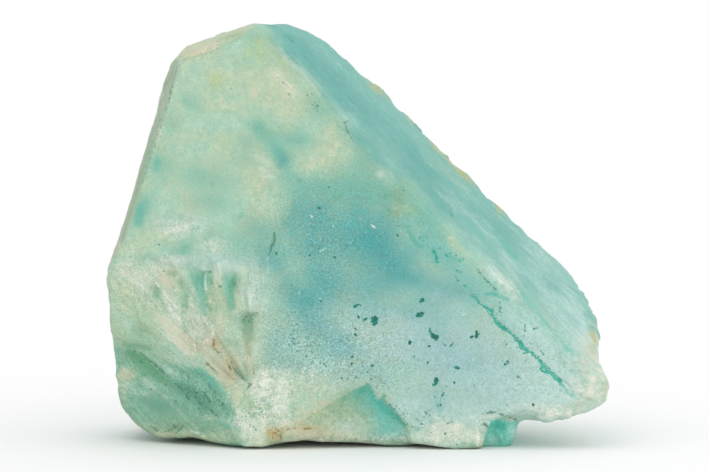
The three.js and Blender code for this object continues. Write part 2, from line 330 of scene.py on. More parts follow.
# How squarely a face of each kind looks its way, where it begins to count and counts in full.
SEEN = (-0.2, 0.1)  # towards the camera, if only just
FACING = (0.2, 0.6)  # well towards the camera
SAWN = (0.93, 0.99)  # straight at the camera
BACK = (0.15, 0.4)  # away from it
FOOT = (0.75, 0.9)  # down
SLOPE = (0.8, 0.95)  # as the right slope does
SLOPE_SKIN = (-6, -4)  # how far out of the slope's plane its points begin to count and count in full
SAWN_SKIN = (0.25, 0.8)  # the depth at which the sawn face begins to end and has ended

# The breaks at the edge of the sawn face: their outline, and the half width of its fade in pixels.
BREAKS = {"scoop": (SCOOP, 7), "flake": (FLAKE, 3), "chip": (CHIP, 2), "knob": (KNOB, 2)}


def faces_of(block, normal):
    """How much each point belongs to each kind of face."""
    place = in_picture(block)
    facing = -normal[:, 1]
    seen = soft(facing, *SEEN)
    slope = soft(normal @ SLOPE_OUT, *SLOPE) * soft((block - SLOPE_POINT) @ SLOPE_OUT, *SLOPE_SKIN)
    back = soft(-facing, *BACK)
    foot = soft(-normal[:, 2], *FOOT)
    breaks = {}
    for name, (outline, fade) in BREAKS.items():
        breaks[name] = seen * soft(within(outline, place), -fade, fade) * (1 - slope)
    broken = np.maximum.reduce(list(breaks.values()))
    sawn = soft(facing, *SAWN) * (1 - soft(block[:, 1], *SAWN_SKIN)) * (1 - broken)
    return {
        "seen": seen,
        "facing": soft(facing, *FACING),
        "slope": slope,
        "sawn": sawn,
        "back": back,
        "side": 1 - np.maximum.reduce([sawn, slope, back, broken, foot]),
        **breaks,
    }


# ---------------------------------------------------------------- marks on the front

# The lines of each kind of mark, through points of (x, y, half width).  One below 0 leaves a broken trace.
LINES = {
    "pale": [
        [(279, 47, 0.6), (288, 60, 2.2), (300, 70, 2), (310, 82, 1.6), (320, 94, 0.6)],
        [(270, 69, 1), (278, 76, 2.4), (287, 87, 3), (294, 96, 1.4)],
        [(434, 188, -0.6), (441, 196, 0.2), (448, 203, -0.6)], [(446, 196, -0.6), (456, 212, -0.6)],
        [(476, 214, -0.4), (492, 229, -0.4)], [(473, 236, 0.2), (479, 242, 0.2)],
        [(500, 258, 0.2), (512, 271, 0.6), (522, 284, 0.2)], [(498, 272, 1), (509, 288, 1.6)],
        [(462, 184, 0), (468, 193, 0)], [(255, 156, 2), (262, 160, 3), (270, 162, 2)],
        [(262, 169, 3), (272, 177, 2.5)], [(252, 399, 1.2), (258, 392, 1.6), (266, 387, 1.8)],
        [(266, 387, 1.6), (275, 384, 2)], [(281, 382, 4.5), (282, 395, 4.5), (284, 404, 2)],
        [(276, 402, 2), (283, 409, 2.5)], [(258, 373, 1.5), (264, 368, 1.2)],
        [(240, 413, 2), (248, 420, 2.5), (262, 427, 3)], [(250, 432, 3), (262, 436, 3)],
        [(136, 280, 3), (146, 284, 3.5)], [(126, 322, 1.2), (129, 332, 1.5)],
        [(237, 345, 1.5), (241, 360, 2), (243, 373, 1.5)], [(257, 345, 2), (252, 360, 2.5)],
        [(226, 265, 4), (244, 270, 4)], [(178, 277, 2), (186, 274, 2)],
        [(158, 391, 0), (172, 405, 0.6), (186, 418, 0.6), (198, 428, 0.4)],
        [(138, 349, 0.2), (151, 357, 0.4), (164, 366, 0.8), (177, 375, 0.8)],
        [(204, 417, 1.2), (222, 420, 1.4), (234, 425, 1.2)], [(145, 380, 3), (152, 388, 3)],
        [(118, 384, 1.5), (135, 383, 1)], [(371, 435, 0.8), (362, 441, 0.8)],
    ],
    "cream": [
        [(156, 314, 3), (167, 325, 6), (178, 338, 6), (187, 349, 3)],
        [(203, 350, 3), (213, 360, 4.5), (224, 373, 4)], [(238, 286, 1), (238, 305, 1.2)],
        [(219, 318, 2.5), (221, 336, 3)], [(124, 372, 3.5), (132, 375, 4)],
        [(192, 50, 1.5), (206, 47, 2), (220, 42, 1)], [(288, 433, 2.5), (314, 432, 2.5)],
        [(483, 417, 1.3), (489, 417, 1.6)], [(494, 416.5, 1.2), (500, 416.5, 1.4)],
        [(507, 419, 1), (511, 420, 1)], [(271, 70, 1.6), (280, 79, 3.4), (291, 91, 3.4)],
        [(276, 77, 2), (287, 88, 3)], [(284, 96, 2), (290, 92, 1.5)], [(240, 390, 3), (236, 402, 2)],
        [(160, 434, 2.5), (170, 435, 2.5)], [(185, 433, 3), (190, 433, 2)],
    ],
    "green": [
        [(130, 352, 4), (140, 362, 6), (152, 372, 5), (161, 380, 2.5)], [(228, 405, 1), (234, 413, 1.5)],
        [(214, 397, 1.5), (224, 410, 2)], [(159, 287, 2.5), (157, 295, 3.5)],
        [(180, 281, 1.8), (184, 290, 1.5)], [(186, 296, 2.5), (186, 306, 2.5)],
        [(163, 304, 1.5), (166, 312, 1.5)], [(181, 312, 1), (183, 322, 1.3), (186, 332, 1)],
        [(203, 272, 0.8), (202.5, 284, 0.8), (204.5, 293, 1), (206, 300, 1.2)],
        # The next line, down the right edge of the first slot, is partly its green and partly painted shade
        # in the recess.
        [(209, 271, 1.5), (212, 275, 1.6), (211, 283, 1.2)],
        [(206, 303, 1.2), (209, 307, 1.8), (212, 310, 1.5)],
        [(231.5, 285, 3), (230.5, 292, 2.8), (231, 300, 3), (234, 307, 2)], [(169, 273, 2), (174, 275, 2)],
        [(125, 345, 3), (150, 349, 1.5)],
    ],
    # The shade marks are painted shade in grey-green: in the wedge's recess in the hollow, along the dim
    # left side, in the crease under the bevel, as a darker rim along the left and lower outline, and in
    # small strokes by the crack's lower end, the knob and the flake's foot.
    "shade": [
        [(243, 316, 2.6), (249, 322, 4.4), (250, 331, 4), (250, 341, 1.6)],
        [(241, 313, 2.4), (248, 316, 4.2), (257, 314, 1.8)], [(228, 339, 1.2), (232, 344, 1.4)],
        [(237, 343, 1.2), (237, 348, 1)],
        [(231, 362, 1.2), (236, 368, 1.4), (243, 377, 1.5), (247, 381, 1)],
        [(176, 62, 3), (170, 80, 5), (164, 100, 4.5), (157, 125, 4), (149, 152, 3.5)],
        [(149, 152, 3.5), (141, 180, 3), (131, 212, 2.5), (122, 240, 2)],
        [(108, 285, 1), (111, 330, 1), (115, 375, 1.2), (120, 398, 1.5)],
        [(120, 398, 1.5), (132, 418, 1.5), (150, 434, 1.2), (160, 440, 1.2)],
        [(182, 60, 0.3), (190, 58, 0.3), (204, 54, 0.2), (214, 51, 0.4), (222, 47, 0.2)],
        [(222, 47, 0.2), (232, 42, 0.5), (242, 36, 0.2)], [(564, 361, 0.9), (564.5, 366, 0.9)],
        [(572, 362, 0.8), (583, 364, 0.6)], [(578, 371, 0.7), (586, 372.5, 0.6)],
        [(570, 370, 0.8), (576, 373, 0.7)], [(563, 380, 1), (568, 384, 1.2), (571, 387, 0.8)],
        [(577, 393, 0.6), (588, 398, 1.5), (598, 402, 1)], [(518, 421, 1.2), (519, 430, 1)],
        [(172, 429, 3), (180, 425, 3)],
    ],
    "teal": [
        [(193, 275, 3), (198, 282, 4.5), (200, 292, 4.2), (203, 304, 3.2), (205, 314, 1.6)],
        [(225, 277, 3), (226, 288, 3.4), (229, 300, 3), (231, 311, 1.6)],
        [(486, 294.5, 1.6), (493, 294, 2), (500, 297, 1.6), (509, 300, 1.4)],
        [(514, 282, 0.5), (524, 296, 1.5)], [(282, 32, 1.5), (292, 42, 1.5), (300, 52, 2)],
        [(443, 200, 0.8), (449, 212, 1), (452, 217, 0.6)], [(427, 208, 1.5), (430, 212, 1.2)],
        [(470, 222, 3), (482, 236, 2)], [(500, 240, 2.5), (515, 258, 3.5)],
        [(434, 195, 2), (437, 205, 2.5)], [(437, 404, 1.5), (441, 408, 2), (440, 412, 1.2)],
        [(194, 373, 2), (200, 369, 2.5), (206, 376, 3), (214, 382, 3.5), (222, 388, 3), (226, 394, 2)],
        [(216, 420, 1.5), (224, 424, 2.5), (229, 427, 1.5)], [(158, 403, 1), (164, 410, 1)],
        [(158, 160, 3), (156, 168, 3)], [(139, 210, 4), (139, 222, 5)],
    ],
    "bright": [
        [(370, 386, 2), (374, 398, 3), (384, 408, 3.5), (396, 417, 3), (405, 426, 1.5)],
        [(366, 387, 2.5), (362, 392, 2)], [(266, 25.5, 1), (276, 26.5, 0.8)],
        [(498, 425, 4), (504, 427, 3)], [(494, 432, 2), (500, 441, 2.5)],
        [(406, 225, 1.2), (410, 233, 2.2), (415, 242, 2.4), (422, 247, 2)],
        [(421, 238, 1.2), (427, 235, 1)], [(433, 250, 1.8), (437, 262, 1.6)],
        [(446, 255, 1.2), (462, 261, 1)],
        [(486, 294.5, 1.4), (493, 294, 1.8), (500, 297, 1.4), (509, 300, 1)],
        [(516, 285, 0.6), (524, 296, 1.6), (529, 303, 2.2), (535, 308, 1.4)],
        [(538, 312, 0.6), (545, 322, 1.2), (552, 331, 0.8)],
    ],
    "brown": [
        [(212, 345, 0.7), (214.5, 349, 0.8), (217, 352, 0.8), (221, 352.5, 0.6)],
        [(206, 362, 0.6), (211, 367, 0.8), (218, 374, 0.5)], [(253.5, 369, 1), (254, 373, 0.8)],
        [(229, 366, 0.9), (231, 370, 0.9)], [(280, 434, 0.6), (281, 441, 0.9)],
        [(273, 433, 0.2), (273.5, 440, 0.4)], [(304, 429, 0.5), (311, 428.3, 0.7)],
        [(286, 430, 0.5), (296, 428, 0.5)],
    ],
    "dark": [
        [(274, 232, 0.5), (274.5, 240, 1.2), (272, 246, 1.4), (270, 252, 0.9), (269, 255, 0.6)],
        [(478, 270, 0.5), (484, 278, 0.6), (496, 290, 0.4)],
        [(304, 91, 0.2), (308, 96, 0.4), (311, 99, 0.2)], [(303, 95, 0), (306, 99, 0.2)],
        [(311, 93, 0), (314, 97, 0.2)], [(304, 107, 0.1), (306, 111, 0.3)],
        [(315, 102, 0), (318, 106, 0.3)], [(317, 110, 0.5), (320, 113, 0.4)],
        [(275, 74, 0), (283, 83, 0.2), (288, 88, 0)], [(312, 104, 0.2), (317, 110, 0.6)],
        [(344, 123, 0.5), (349, 134, 0.6)],
        [(141, 353, 0.6), (152, 362, 0.8), (163, 372, 0.8), (170, 378, 0.6)],
        # The short line at (206, 270) is painted shade under the top edge of the first slot in the hollow.
        [(176, 433, 0.6), (183, 426, 0.7)], [(206, 270, 0.7), (211, 272, 0.8)],
        [(179, 62, -0.2), (171, 92, 0.1)],
        [(171, 92, 0.1), (166, 112, -0.1), (158, 134, -0.2), (150, 160, -0.3), (139, 196, -0.4)],
        [(487, 413, 0.6), (491, 411.5, 1.5), (493, 412, 1)], [(499, 413.5, 0.6), (503, 415, 1.3)],
        [(506, 416, 0.5), (511, 417.2, 1.1)], [(513, 418, 0.4), (516, 419, 0.8)],
        [(484, 424, 1.2), (487, 427, 1.2)], [(186, 395, 0.6), (189, 400, 0.6)],
        [(195, 396, 0.6), (201, 404, 0.7)], [(203, 392, 0.6), (210, 402, 0.6)],
        [(230, 362, 0.2), (236, 371, 0.5), (243, 378, 0.4), (251, 385, 0.5)],
        [(151, 426, 0.5), (157, 430, 0.6)], [(160, 433, 0.3), (170, 430, 0.4), (178, 426, 0.6)],
        [(208, 385, 0.4), (216, 393, 0.4)], [(192, 388, 0.4), (197, 394, 0.5)],
        [(212, 410, 0.5), (219, 418, 0.6)], [(176, 384, 0.4), (182, 390, 0.4)],
        [(208, 407, 0.7), (214, 414, 0.8)], [(198, 408, 0.5), (203, 414, 0.6)],
        [(248, 387, 0.8), (251, 384, 0.8)], [(183, 372, 0.5), (190, 378, 0.5)],
        [(216, 398, 0.5), (222, 404, 1)], [(286, 34, 0.6), (293, 42, 0.5)],
        [(449, 210, 0.6), (452, 216, 0.5)],
    ],
    "crack": [
        [(471, 295.5, 0.8), (475, 297.5, 2.2), (479, 303, 0.9), (483, 306, 0.8), (487, 308, 1.6)],
        [(487, 308, 1.6), (491, 311.5, 2.8), (492, 315, 1.4), (494.5, 319, 1.6), (497, 323, 2.8)],
        [(497, 323, 2.8), (502, 326.5, 2.4), (506, 330, 2.5), (510, 333, 1.2), (513, 335.5, 1.5)],
        [(513, 335.5, 1.5), (518, 341, 2.1), (522, 346.5, 2.7), (526, 350.5, 2.1), (531, 353, 2.2)],
        [(531, 353, 2.2), (535, 357, 1.5), (540, 362, 2.2), (544, 367, 3), (549, 371.5, 3)],
        [(549, 371.5, 3), (554, 376, 2.8), (559, 381, 2.6), (562, 385, 2)],
        [(501, 333.5, 1.1), (505, 334.5, 1.1)], [(541, 370, 1.5), (546, 372, 1.6)],
        [(433, 250, 1.2), (436, 256, 0.9), (437, 262, 0.9)], [(464, 286, 0.8), (466, 288, 1.2)],
        [(456, 271, 0.8), (460, 272, 1.2)], [(455, 277, 0.8), (459, 281, 0.8)],
    ],
    "faded_crack": [
        [(562, 385, 1.8), (567, 391, 1.6), (571, 396, 0.8)], [(571, 393, 0.6), (578, 399, 0.5)],
        [(524, 296, 0.8), (529, 303, 2.2), (535, 308, 1.6)],
        [(538, 312, 0.5), (542, 318, 1.2), (543, 325, 1.2)], [(545, 324, 0.3), (553, 331, 0.6)],
        [(556, 335, 0.4), (562, 342, 0.4)],
        [(564, 346, 1), (568, 349.5, 2.6), (572, 352, 1.4), (575, 355, 0.4)],
    ],
    "glint": [
        [(206, 273, 1.3), (205, 282, 1.7), (206, 289, 1.8)],
        [(212.5, 328, 1.3), (212.8, 333, 1.5), (212.5, 337, 1.1)],
        [(190, 328, 0.9), (191, 334, 1.2), (194, 341, 1), (194.5, 345, 1.4), (195.5, 351, 1)],
        [(156, 283, 1.5), (160, 287, 1.8)], [(309, 214, 0.7), (312, 217, 1.1)],
        [(319, 252, 0.9), (324, 249.5, 0.9)], [(371, 224.5, 1.2), (375, 227, 1.4)],
        [(333, 226.5, 0.7), (336, 226, 0.6)], [(394, 250, 0.5), (397, 254, 0.6)],
        [(274, 223, 0.5), (274, 231, 0.5)], [(268.5, 257, 0.5), (266.5, 262, 0.5)],
        [(299, 292, 0.5), (300, 297, 0.6)], [(463, 315, 1.2), (467, 314, 0.8)],
        [(340, 336, 0.7), (330, 339, 0.6), (320, 343.5, 0.7)], [(404, 374, 0.4), (390, 378, 0.5)],
        [(273, 71.5, 0.7), (279, 76.5, 1.3)], [(284.5, 80, 0.7), (291, 86, 1.3)],
        [(281, 83, 0.8), (288, 91, 0.9)], [(297, 73, 0.4), (304, 81, 0.7)],
        [(293, 65, 0.3), (302, 74, 0.6)], [(302, 75, 0.4), (308, 81, 0.6)],
        [(546, 367, 0.8), (557, 378, 1)], [(192, 431, 1.4), (199, 433, 1.5)],
        [(202, 436, 1.3), (206, 438, 1.3)], [(436, 189, 0.4), (443, 196, 0.5)],
        [(343, 103, 0.4), (348, 108, 0.4)], [(493, 427, 0.5), (503, 437, 0.7)],
        [(136, 387, 0.4), (148, 394, 0.6)], [(257, 155, 0.6), (262, 157, 0.8)],
    ],
    "speck": [
        [(450.5, 346, 0.7), (453, 343, 0.8)], [(447, 424, 0.7), (449, 423, 0.7)],
        [(534, 329, 0.8), (537, 328, 0.8)], [(525, 325, 0.7), (525, 331, 0.8)],
        [(541, 351, 0.5), (543.5, 355, 0.6)], [(499.5, 311, 0.6), (502, 312.5, 0.6)],
        [(516, 376, 0.9), (519, 377.5, 0.9)],
    ],
    "pit": [
        [(416.5, 316, 1.2), (419, 315, 2.2), (422, 314.5, 1.8)],
        [(429.5, 329, 1.2), (431, 333, 1), (433.5, 337, 2)], [(433.5, 337, 2), (436, 337.5, 2.8)],
        [(476.5, 331, 0.8), (477.5, 334, 1.5), (476.5, 337, 1.2)], [(471.5, 337, 1), (473, 335.5, 0.6)],
        [(454.5, 367, 1), (458.5, 368.5, 1.8)], [(436.5, 379, 1.2), (436, 383, 1.7), (433.5, 385.5, 1.3)],
        [(444, 394, 0.8), (442.5, 396, 1.2)], [(504.7, 364.5, 1.1), (507.5, 362, 1.1)],
        [(420, 301.5, 1.2), (422.5, 300, 1.8)], [(355.5, 307, 1), (358, 304.5, 1.5), (360, 305.5, 0.9)],
        [(364.5, 319.5, 1.4), (367, 318.5, 1.2)],
    ],
}

# The dots of each kind of mark: (x, y, radius).
DOTS = {
    "pale": [(216, 275, 3.5), (122, 263, 4), (166, 266, 3), (380, 174, 4), (197, 333, 3)],
    "cream": [(168, 282, 5), (232, 312, 2.5), (122, 274, 3), (253, 92, 5), (173, 300, 3)],
    "green": [
        (146, 372, 5), (299, 181, 2.4), (337, 198, 2.5), (391, 212, 1.6), (463, 444, 2.5), (473, 445, 2.5),
    ],
    "shade": [(412, 311.5, 2), (267, 173, 1.4), (400, 200, 4), (397, 213, 3)],
    "teal": [
        (183, 253, 1.8), (185, 247, 2.5), (212, 184, 2.2), (241, 216, 3), (418, 428, 2), (360, 212, 4),
    ],
    "brown": [
        (213.5, 340, 1.2), (213.8, 343.8, 1.4), (209, 365, 1), (218, 42, 0.8), (273, 427.5, 0.7),
        (276, 429, 0.9), (278.5, 431, 0.7), (275, 433, 0.6), (278, 436, 0.8), (271.5, 430, 0.5),
        (281, 428, 0.5),
    ],
    "dark": [
        (135, 352, 0.9), (142, 362, 1.3), (151, 389.5, 1), (165.5, 385, 0.9), (175.5, 402, 1.1),
        (188, 393, 1), (222, 404, 1.4), (156, 430, 1.4), (174, 426, 0.8), (170, 93, 1), (165, 96, 0.7),
        (482, 414, 1), (490, 420, 0.9), (481, 425, 0.7), (480, 430, 0.7), (483, 433, 0.8), (241, 311, 0.7),
        (246, 316, 0.9), (252, 319, 0.9), (253, 315, 0.7), (257, 313, 0.6), (244, 320, 0.6),
        (249, 314, 0.5), (249, 322, 0.7), (255, 317, 0.5), (251, 327, 0.5), (246, 324, 0.5),
        (253, 323, 0.5), (220, 286, 1.1), (164, 271, 0.9), (231, 87, 0.9), (288.5, 94, 0.9),
        (358, 398, 1.1), (399, 437, 0.7), (237, 344, 0.9), (483.5, 419, 0.7), (488, 419.5, 0.8),
        (496, 412, 0.7), (347, 121, 0.9), (351, 138, 0.9),
    ],
    "crack": [
        (524, 353, 1.2), (446, 256, 1.2), (450, 253, 1), (459, 262, 1), (427, 237, 1), (463, 258, 0.7),
    ],
    "glint": [
        (210, 301, 1.6), (207, 324, 1.5), (234, 327, 1.4), (184.5, 317, 1.3), (175, 290, 1.2),
        (166, 300, 1.2), (147, 322, 1.1), (170, 310, 1.1), (200, 338, 1), (222, 346, 1), (178, 297, 1.1),
        (240, 352, 1), (292, 168, 1.1), (312.5, 186, 0.8), (340.5, 188.5, 0.9), (380, 208, 1),
        (401, 230.5, 1), (320, 298, 1.4), (363, 265, 0.8), (341, 323.5, 0.9), (449, 326.5, 1.1),
        (451, 333, 0.7), (413, 252, 0.7), (269, 68, 0.9), (163, 268, 0.7), (318, 273, 0.7), (300, 222, 0.6),
        (287, 183, 0.6), (270, 218, 0.7), (197, 362, 0.6),
    ],
    "speck": [
        (290.5, 338.5, 0.7), (293, 338, 0.7), (292, 341, 0.8), (294.5, 344, 0.9), (297, 351, 0.8),
        (298.5, 350, 0.6), (289, 345, 0.6), (306.5, 356, 0.9), (312, 351.5, 0.7), (305, 351, 0.7),
        (309, 368.5, 0.9), (321, 367, 0.8), (320, 363, 0.7), (324, 364, 0.7), (326, 366, 0.8),
        (327, 362, 0.6), (288, 316, 0.7), (288, 323, 0.7), (320, 347, 0.7), (336, 374, 0.8),
        (339, 372, 0.7), (342, 378, 0.9), (338, 383.5, 0.7), (349, 374, 0.8), (353, 373, 0.8),
        (352, 381, 0.7), (356, 378, 0.7), (359, 378, 0.7), (363, 367, 0.7), (362, 365, 0.8),
        (361, 346, 0.9), (367, 372.5, 0.9), (370, 358, 0.6), (375, 377, 0.7), (381, 379, 1),
        (384, 383, 0.7), (414, 357, 1), (424.5, 361.5, 0.6), (424.5, 364.5, 0.7), (426.5, 348, 0.6),
        (434.5, 392.5, 0.8), (434.5, 397, 0.7), (431, 401, 0.6), (440, 401.5, 0.7), (437.5, 406, 1.1),
        (441, 405, 1.2), (426, 412.5, 1), (430, 415.5, 0.8), (404, 415, 0.9), (408, 414, 0.6),
        (417.5, 419, 0.8), (421.5, 423.5, 1.1), (412.5, 426.5, 0.9), (410, 226, 0.6), (415, 231, 0.5),
        (419, 238, 0.7), (424, 241, 0.5), (428, 247, 0.7), (440, 248, 0.6), (443, 258, 0.7),
        (451, 262, 0.6), (456, 255, 0.7), (448, 266, 0.6), (432, 262, 0.6), (418, 251, 0.5),
        (407, 219, 0.6), (399, 226, 0.5), (371, 379, 0.7), (376.5, 377, 0.6), (382, 381, 0.7),
        (385.5, 384, 0.6), (378.5, 385.5, 0.6), (388.5, 388, 0.8), (390, 405, 0.8), (395, 409, 0.7),
        (397.5, 412.5, 0.8), (401, 416, 0.7), (404, 419.5, 0.9), (407.5, 424, 0.8), (414.5, 426, 0.7),
        (418.5, 429, 0.8), (420, 421.5, 0.6), (424.5, 417, 0.7), (427.5, 413.5, 0.6), (429, 410.5, 0.7),
        (423, 424, 0.6), (402, 412.5, 0.6), (399.5, 409, 0.5), (396.5, 406, 0.6), (357, 377, 0.6),
        (362, 373.5, 0.6), (367.5, 372, 0.7), (353, 381, 0.6), (348, 379, 0.6), (344, 381, 0.5),
        (349.5, 375.5, 0.5), (452.5, 422, 0.7), (500, 303, 0.8), (500, 307.5, 1.1), (523.5, 335.5, 0.8),
        (531, 344, 0.9), (506, 344, 1), (526, 360.5, 0.9), (513, 396.5, 0.7), (507.5, 405, 0.7),
        (481, 372, 0.7), (474, 386, 0.6), (159, 244.5, 0.9), (394, 267, 0.8), (349, 298.5, 0.9),
        (243, 416.5, 0.7), (246, 417, 0.6), (241, 421, 0.8), (254, 427, 0.8), (256, 430, 0.9),
        (250, 425, 0.6), (268, 425, 0.6), (329, 187, 1), (388, 210, 0.9), (398, 219, 0.7), (404, 190, 0.7),
        (408, 187, 0.6), (445, 434, 1.2), (457, 445, 0.8), (533, 414, 1.1), (386, 356, 0.8),
    ],
    "pit": [
        (421.5, 302.5, 1.2), (410, 343, 1.4), (429, 346.5, 1.2), (444.5, 345.5, 1), (428, 362.5, 1.1),
        (454.8, 383, 1.1), (359, 317, 1.2), (374, 320.5, 3.8), (375, 323, 2.8), (356, 329, 1),
        (355.5, 334.5, 1.5), (352, 357, 1.2), (351.5, 364.3, 1.1), (373, 365.5, 1.8), (533, 405, 1.2),
        (319, 207.3, 1.5), (397.5, 235, 1.3), (318, 248, 1.1), (309.5, 255, 1.1), (276.5, 254, 1.5),
        (334.5, 257.3, 1), (321, 300.7, 1.1),
    ],
}

CRISP = ("brown", "dark", "crack", "glint", "speck", "pit")  # where the mesh is refined most
NEAR = 1.6  # how many pixels from a crisp mark the mesh is refined
FRONT = 0.5  # how squarely a refined point faces the front
DEPTH = {"pit": 0.12, "crack": 0.18, "dark": 0.04}  # how deep these marks are cut
CUT_RIM = (-0.6, 1.4)  # pixels inside a mark's edge, where its cut begins and is full


def in_front(mesh):
    """Whether each point faces the front."""
    return turned_to_block(normals_of(mesh))[:, 1] < -FRONT


def at_crisp_marks(mesh):
    place = in_picture(to_block(points_of(mesh)))
    nearest = np.maximum.reduce([inside_marks(kind, place) for kind in CRISP])
    return in_front(mesh) & (nearest > -NEAR)


# ---------------------------------------------------------------- relief

FAN_REACH = 25  # how far from where the hollow's fibres meet their width is measured
SAW = {"x": -160, "h": 190, "pitch": 0.9, "length": 45}  # the middle of the saw's arcs, and its marks
LEDGE_DROP = 0.3  # how far the ledges on the back are sunk
LEDGE_FADE = (0.05, 0.5)  # how deep in the oval on the back they begin and are full


def layer(points, height, seed, size=1):
    """Noise of this size and height."""
    return height * noise(points / size, seed)


def stretched(block, along, across, length, width):
    """Coordinates for noise that is longer along one direction than across it."""
    out = np.cross(along, across)
    return np.stack([block @ along / length, block @ across / width, block @ out / width], axis=1)


def fan(block):
    """How far each point is from where the hollow's fibres meet, how far across them, and its depth."""
    x, y = (in_picture(block) - FAN).T * PIXEL
    across = np.arctan2(x, -y) * FAN_REACH
    return np.stack([np.hypot(x, y), across, block[:, 1]], axis=1)


def fanned(block, length, width):
    """Coordinates for noise that is longer along the fibres of the hollow."""
    return fan(block) / (length, width, width)


def terraces(level, rise, sharp=0.7):
    """Level treads with steep risers, from a smooth height."""
    tread = np.floor(level / rise)
    return rise * (tread + soft(level / rise - tread, sharp, 1))


def slope_relief(block):
    """Long low streaks parallel to the ridge, on broad lumps."""
    streak = stretched(block, RIDGE, SLOPE_ACROSS, length=16, width=2.2)
    fine_streak = streak * 2.3
    return (
        layer(streak, height=0.03, seed=3)
        + layer(fine_streak, height=0.01, seed=4)
        + layer(block, size=7, height=0.15, seed=5)
    )


def hollow_relief(block):
    """Cleavage columns that fan out upwards, with stepped sides and fine fibres."""
    column = fanned(block, length=9, width=1.5)
    fibre = fanned(block, length=5, width=0.5)
    return (
        terraces(layer(column, height=0.7, seed=11), rise=0.3)
        + layer(fibre, height=0.09, seed=12)
        + layer(block, size=4, height=0.2, seed=13)
    )


def flake_relief(block):
    """A smooth break with feathering that runs down to the right."""
    feather = stretched(block, GRAIN, GRAIN_ACROSS, length=9, width=0.9)
    return (
        layer(feather, height=0.1, seed=21)
        + layer(block, size=5, height=0.25, seed=22)
        + layer(block, size=1.6, height=0.07, seed=23)
    )


def back_relief(block):
    """Cleavage steps, crossed by fine twin streaks, on bolder ledges away from the stone's outline."""
    step = stretched(block, BACK_ALONG, BACK_ACROSS, length=15, width=3.6)
    twin = stretched(block, BACK_ALONG, BACK_ACROSS, length=12, width=0.8)
    ledge = stretched(block, BACK_ALONG, BACK_ACROSS, length=26, width=8)
    ledges = terraces(layer(ledge, height=1.4, seed=34), rise=0.7) - LEDGE_DROP
    return (
        terraces(layer(step, height=1.3, seed=31), rise=0.42)
        + soft(ovals([BACK_MIDDLE], in_picture(block)), *LEDGE_FADE) * ledges
        + layer(twin, height=0.06, seed=32)
        + layer(block, size=3.5, height=0.2, seed=33)
    )


def rough_relief(block):
    """Plain broken stone, in three sizes of lumps."""
    return (
        layer(block, size=5, height=0.28, seed=41)
        + layer(block, size=2.1, height=0.16, seed=42)
        + layer(block, size=0.9, height=0.07, seed=43)
    )


def sawn_relief(block):
    """The saw's faint arcs across the flat face."""
    x, _, height = block.T
    arc = np.hypot(x - SAW["x"], height - SAW["h"])
    arcs = np.stack([arc / SAW["pitch"], x / SAW["length"], height / SAW["length"]], axis=1)
    return layer(arcs, height=0.018, seed=51) + layer(block, size=6, height=0.03, seed=52)


RELIEF = {
    "slope": slope_relief,
    "scoop": hollow_relief,
    "flake": flake_relief,
    "chip": flake_relief,
    "knob": rough_relief,
    "back": back_relief,
    "side": rough_relief,
    "sawn": sawn_relief,
}


# ---------------------------------------------------------------- wear and shape

FOOT_SKIN = 0.05  # points lower than this belong to the foot, which stays flat
FOOT_LOOK = (0.9, 0.97)  # how squarely they look down
CUT_SKIN = 0.3  # points less deep than this belong to the sawn face, whose facets aren't worn
FRONT_DEPTH = 12  # the ridge and the slots lie less deep than this
RIDGE_WORN = (60, 360)  # pixels down the ridge, where its wear begins and is full
RIDGE_CORE = 4  # pixels to either side that are worn in full
RIDGE_FADE = 8  # pixels to either side where the wear ends at the ridge's upper end
RIDGE_SPREAD = 14  # how much wider it is at the lower end
SLOT_FADE = (0.1, 0.4)  # how deep in their ovals the slots begin and are full
SLOT_FILL = 0.65  # how far the slots' floors are raised towards the skin that would close them
NICK = (449, 155, 12, 12, 0, 1)  # a sharp step in the outline that is smoothed away
NICK_FADE = (0.1, 0.5)
# Where the worn outline is let out, or taken in: (x, y, reach) in pixels, and how far in millimetres.
SWELLS = [
    (325, 48, 14, 0.45), (345, 63, 12, 0.5), (455, 160, 12, 0.2), (446, 154, 9, 0.4), (467, 174, 10, 0.6),
    (419, 128, 7, -0.4), (476, 187, 6, 0.3), (505, 212, 9, 0.6), (520, 228, 8, 0.45), (535, 242, 8, 0.2),
    (569, 274, 9, -0.25), (585, 297, 9, 0.6), (597, 318, 9, 0.5), (602, 334, 8, 0.5), (603, 366, 9, 0.6),
    (607, 383, 9, 0.4), (605, 398, 7, 0.3), (533, 421, 9, 0.5), (548, 421, 9, 0.7), (567, 419, 9, 0.8),
    (586, 411, 8, 0.3), (110, 300, 9, 0.15), (112, 318, 9, 0.2), (113, 335, 9, 0.35), (115, 355, 10, 0.6),
    (116, 375, 10, 0.75), (119, 393, 9, 0.65), (125, 407, 8, 0.4), (138, 421, 9, 0.3), (172, 66, 8, 0.55),
    (166, 82, 9, 0.55), (161, 97, 8, 0.3), (124, 220, 11, -0.35), (118, 238, 10, -0.35),
]


def ridge_wear(place):
    """How much the ridge is worn at each place: more, and wider, towards its lower end."""
    off_ridge, travelled = along_line(RIDGE_LINE, place)
    softness = soft(travelled, *RIDGE_WORN)
    return softness * (1 - soft(np.abs(off_ridge), RIDGE_CORE, RIDGE_FADE + RIDGE_SPREAD * softness))


def way_out(mesh):
    """Each point's way out of the outline, parallel to the sawn face, in the row's frame."""
    x, _, height = turned_to_block(normals_of(mesh)).T
    return np.stack([x, height * math.sin(LEAN), height * math.cos(LEAN)], axis=1)


